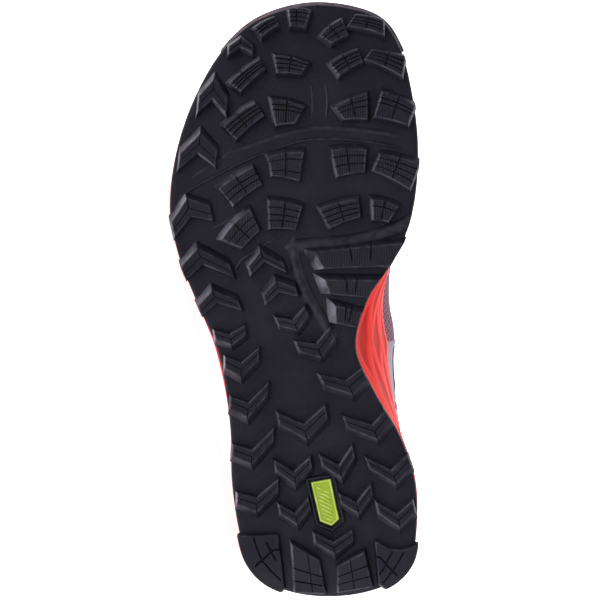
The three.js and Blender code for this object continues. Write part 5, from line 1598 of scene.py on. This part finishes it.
def makeInsole():
    columns = np.linspace(0.0015, 0.4985, 150)[:, None]
    inset = upperInset + upperSizes["wall"] + 2 * sole["fit"]
    left, right = footPoint(columns, inset, 0.0), footPoint(1 - columns, inset, 0.0)
    edge = footbed["edge"]
    shares = roundedRun(0, 1, edge, 40, 5)[None]
    roundEdge = domed((np.abs(2 * shares - 1) - (1 - 2 * edge)) / (2 * edge))
    flat = left * (1 - shares[..., None]) + right * shares[..., None]
    width = np.linalg.norm(right - left, axis=-1)
    fromEdge = np.minimum(shares, 1 - shares) * width
    at = flat[..., 1] / sole["length"]
    lip = footbed["lip"] * (1 - smooth(fromEdge / footbed["lipWidth"]))
    arch = footbed["arch"] * smooth((shares - 0.55) / 0.4) * np.exp(-((at - 0.42) / 0.10) ** 2)
    hollow = smooth(fromEdge / footbed["dishWidth"])
    heelDish = -footbed["heelDish"] * np.exp(-((at - 0.14) / 0.09) ** 2) * hollow
    dish = heelDish - footbed["ballDish"] * np.exp(-((at - 0.72) / 0.08) ** 2) * hollow
    height = footbed["thick"] + lip + arch + dish
    base = footbedHeight(flat[..., 1]) + sole["fit"]
    top, under = flat.copy(), flat.copy()
    top[..., 2] = base + height / 2 + height / 2 * roundEdge
    under[..., 2] = base + (height / 2 - height / 2 * roundEdge) * 0.6
    piece = makePiece("insole_bed", [slabShape(top, under, masks={"edge": 0.0})], insoleCloth, ("insole",),
                      sharp=60)


makeTongue()
makeInsole()


# Lace: flat crossing strands that start under one edge and end in the eyelet across
def tongueCrown(y):
    keys = tongue["station"][::-1]
    return sole["heelStack"] + along(keys, tongue["height"][::-1], y / sole["length"]) * upperSizes["height"]


def curveThrough(knots, steps):
    knots = np.array(knots)
    gaps = np.concatenate([[0], np.cumsum(np.sqrt(stepLengths(knots)))])
    places = np.linspace(0, gaps[-1], steps)
    return np.stack([along(gaps, knots[:, k], places) for k in range(3)], -1)


def strandShape(fromAround, toAround, above, bothOver=False):
    lift = 0.05 + lacing["stayThick"] + lacing["thick"] / 2 + 0.25
    gapUnder = -(upperSizes["wall"] + lacing["thick"] / 2 + 0.1)
    shares = [belowTop(a, lacing["inset"]) for a in (fromAround, toAround)]

    def on(around, share, gap):
        return upperPoint(around, share, float(gap))

    def outward(around, share, gap, length):
        run = on(around, 1.0, 0) - on(around, share, 0)
        return on(around, 1.0, gap) + run / np.linalg.norm(run) * length

    knots = []
    if bothOver:
        knots += [on(fromAround, shares[0], lacing["endDepth"]),
                  on(fromAround, shares[0] + 0.003, lift * 0.4),
                  on(fromAround, shares[0] + 0.03, lift + 0.3), on(fromAround, 1.0, lift)]
    else:
        knots += [on(fromAround, shares[0], gapUnder), on(fromAround, 0.985, gapUnder),
                  outward(fromAround, shares[0], gapUnder * 0.3, 2.2)]
    middle = (on(fromAround, 1.0, 0) + on(toAround, 1.0, 0)) / 2
    crown = float(tongueCrown(middle[1])) + lacing["thick"] / 2 + 0.5 + above
    middle[2] = max(middle[2] + 0.3 + above, crown)
    knots.append(middle)
    knots += [on(toAround, 1.0, lift + 0.1), on(toAround, shares[1] + 0.04, lift + 0.35),
              on(toAround, shares[1] + 0.004, lift * 0.5), on(toAround, shares[1], lacing["endDepth"])]
    path = curveThrough(knots, lacing["steps"])
    run = np.gradient(path, axis=0)
    run = unit(run)
    t = np.linspace(0, 1, len(path))[:, None]
    edgeRun = [on(a + 0.004, 1.0, 0) - on(a - 0.004, 1.0, 0) for a in (fromAround, toAround)]
    edgeRun = [e / np.linalg.norm(e) * np.sign(e[1]) for e in edgeRun]
    guide = edgeRun[0] * (1 - smooth(t)) + edgeRun[1] * smooth(t)
    wide = guide - run * (guide * run).sum(-1, keepdims=True)
    wide = unit(wide)
    out = np.cross(run, wide)
    travel = travelled(path)

    def narrowed(distance):  # the lace gathers where it enters an eyelet
        wide = smooth((distance - lacing["hidden"]) / lacing["narrowRun"])
        return lacing["narrow"] + (1 - lacing["narrow"]) * wide

    narrow = narrowed(travel[-1] - travel)
    if bothOver:
        narrow = np.minimum(narrow, narrowed(travel))
    turn = np.linspace(0, 2 * math.pi, 19)[:-1]
    x = np.sign(np.cos(turn)) * np.abs(np.cos(turn)) ** 0.8 * lacing["width"] / 2
    y = np.sign(np.sin(turn)) * np.abs(np.sin(turn)) ** 0.6 * lacing["thick"] / 2
    points = (path[:, None] + wide[:, None] * (x[None] * narrow[:, None])[..., None]
              + out[:, None] * (y[None] / narrow[:, None] ** 0.4)[..., None])
    ring = np.concatenate([points, points[:, :1]], 1)
    shape = gridShape(points, loop=True, uv=clothCoordinates(ring, False, 0), masks={"edge": 0.0})
    count = len(turn)
    return withFaces(shape, [list(range(base, base + count)) for base in (0, (len(points) - 1) * count)])


def makeLace():
    outer, inner = eyeletArounds, 1 - eyeletArounds
    shapes = [strandShape(outer[0], inner[0], 0.0, bothOver=True)]
    for row in range(lacing["rows"] - 1):
        lifts = (0.0, lacing["crossLift"])
        if row % 2:
            lifts = lifts[::-1]
        shapes.append(strandShape(outer[row], inner[row + 1], lifts[0]))
        shapes.append(strandShape(inner[row], outer[row + 1], lifts[1]))
    makePiece("lace_strands", shapes, laceCloth, ("lace",), sharp=60)


makeLace()
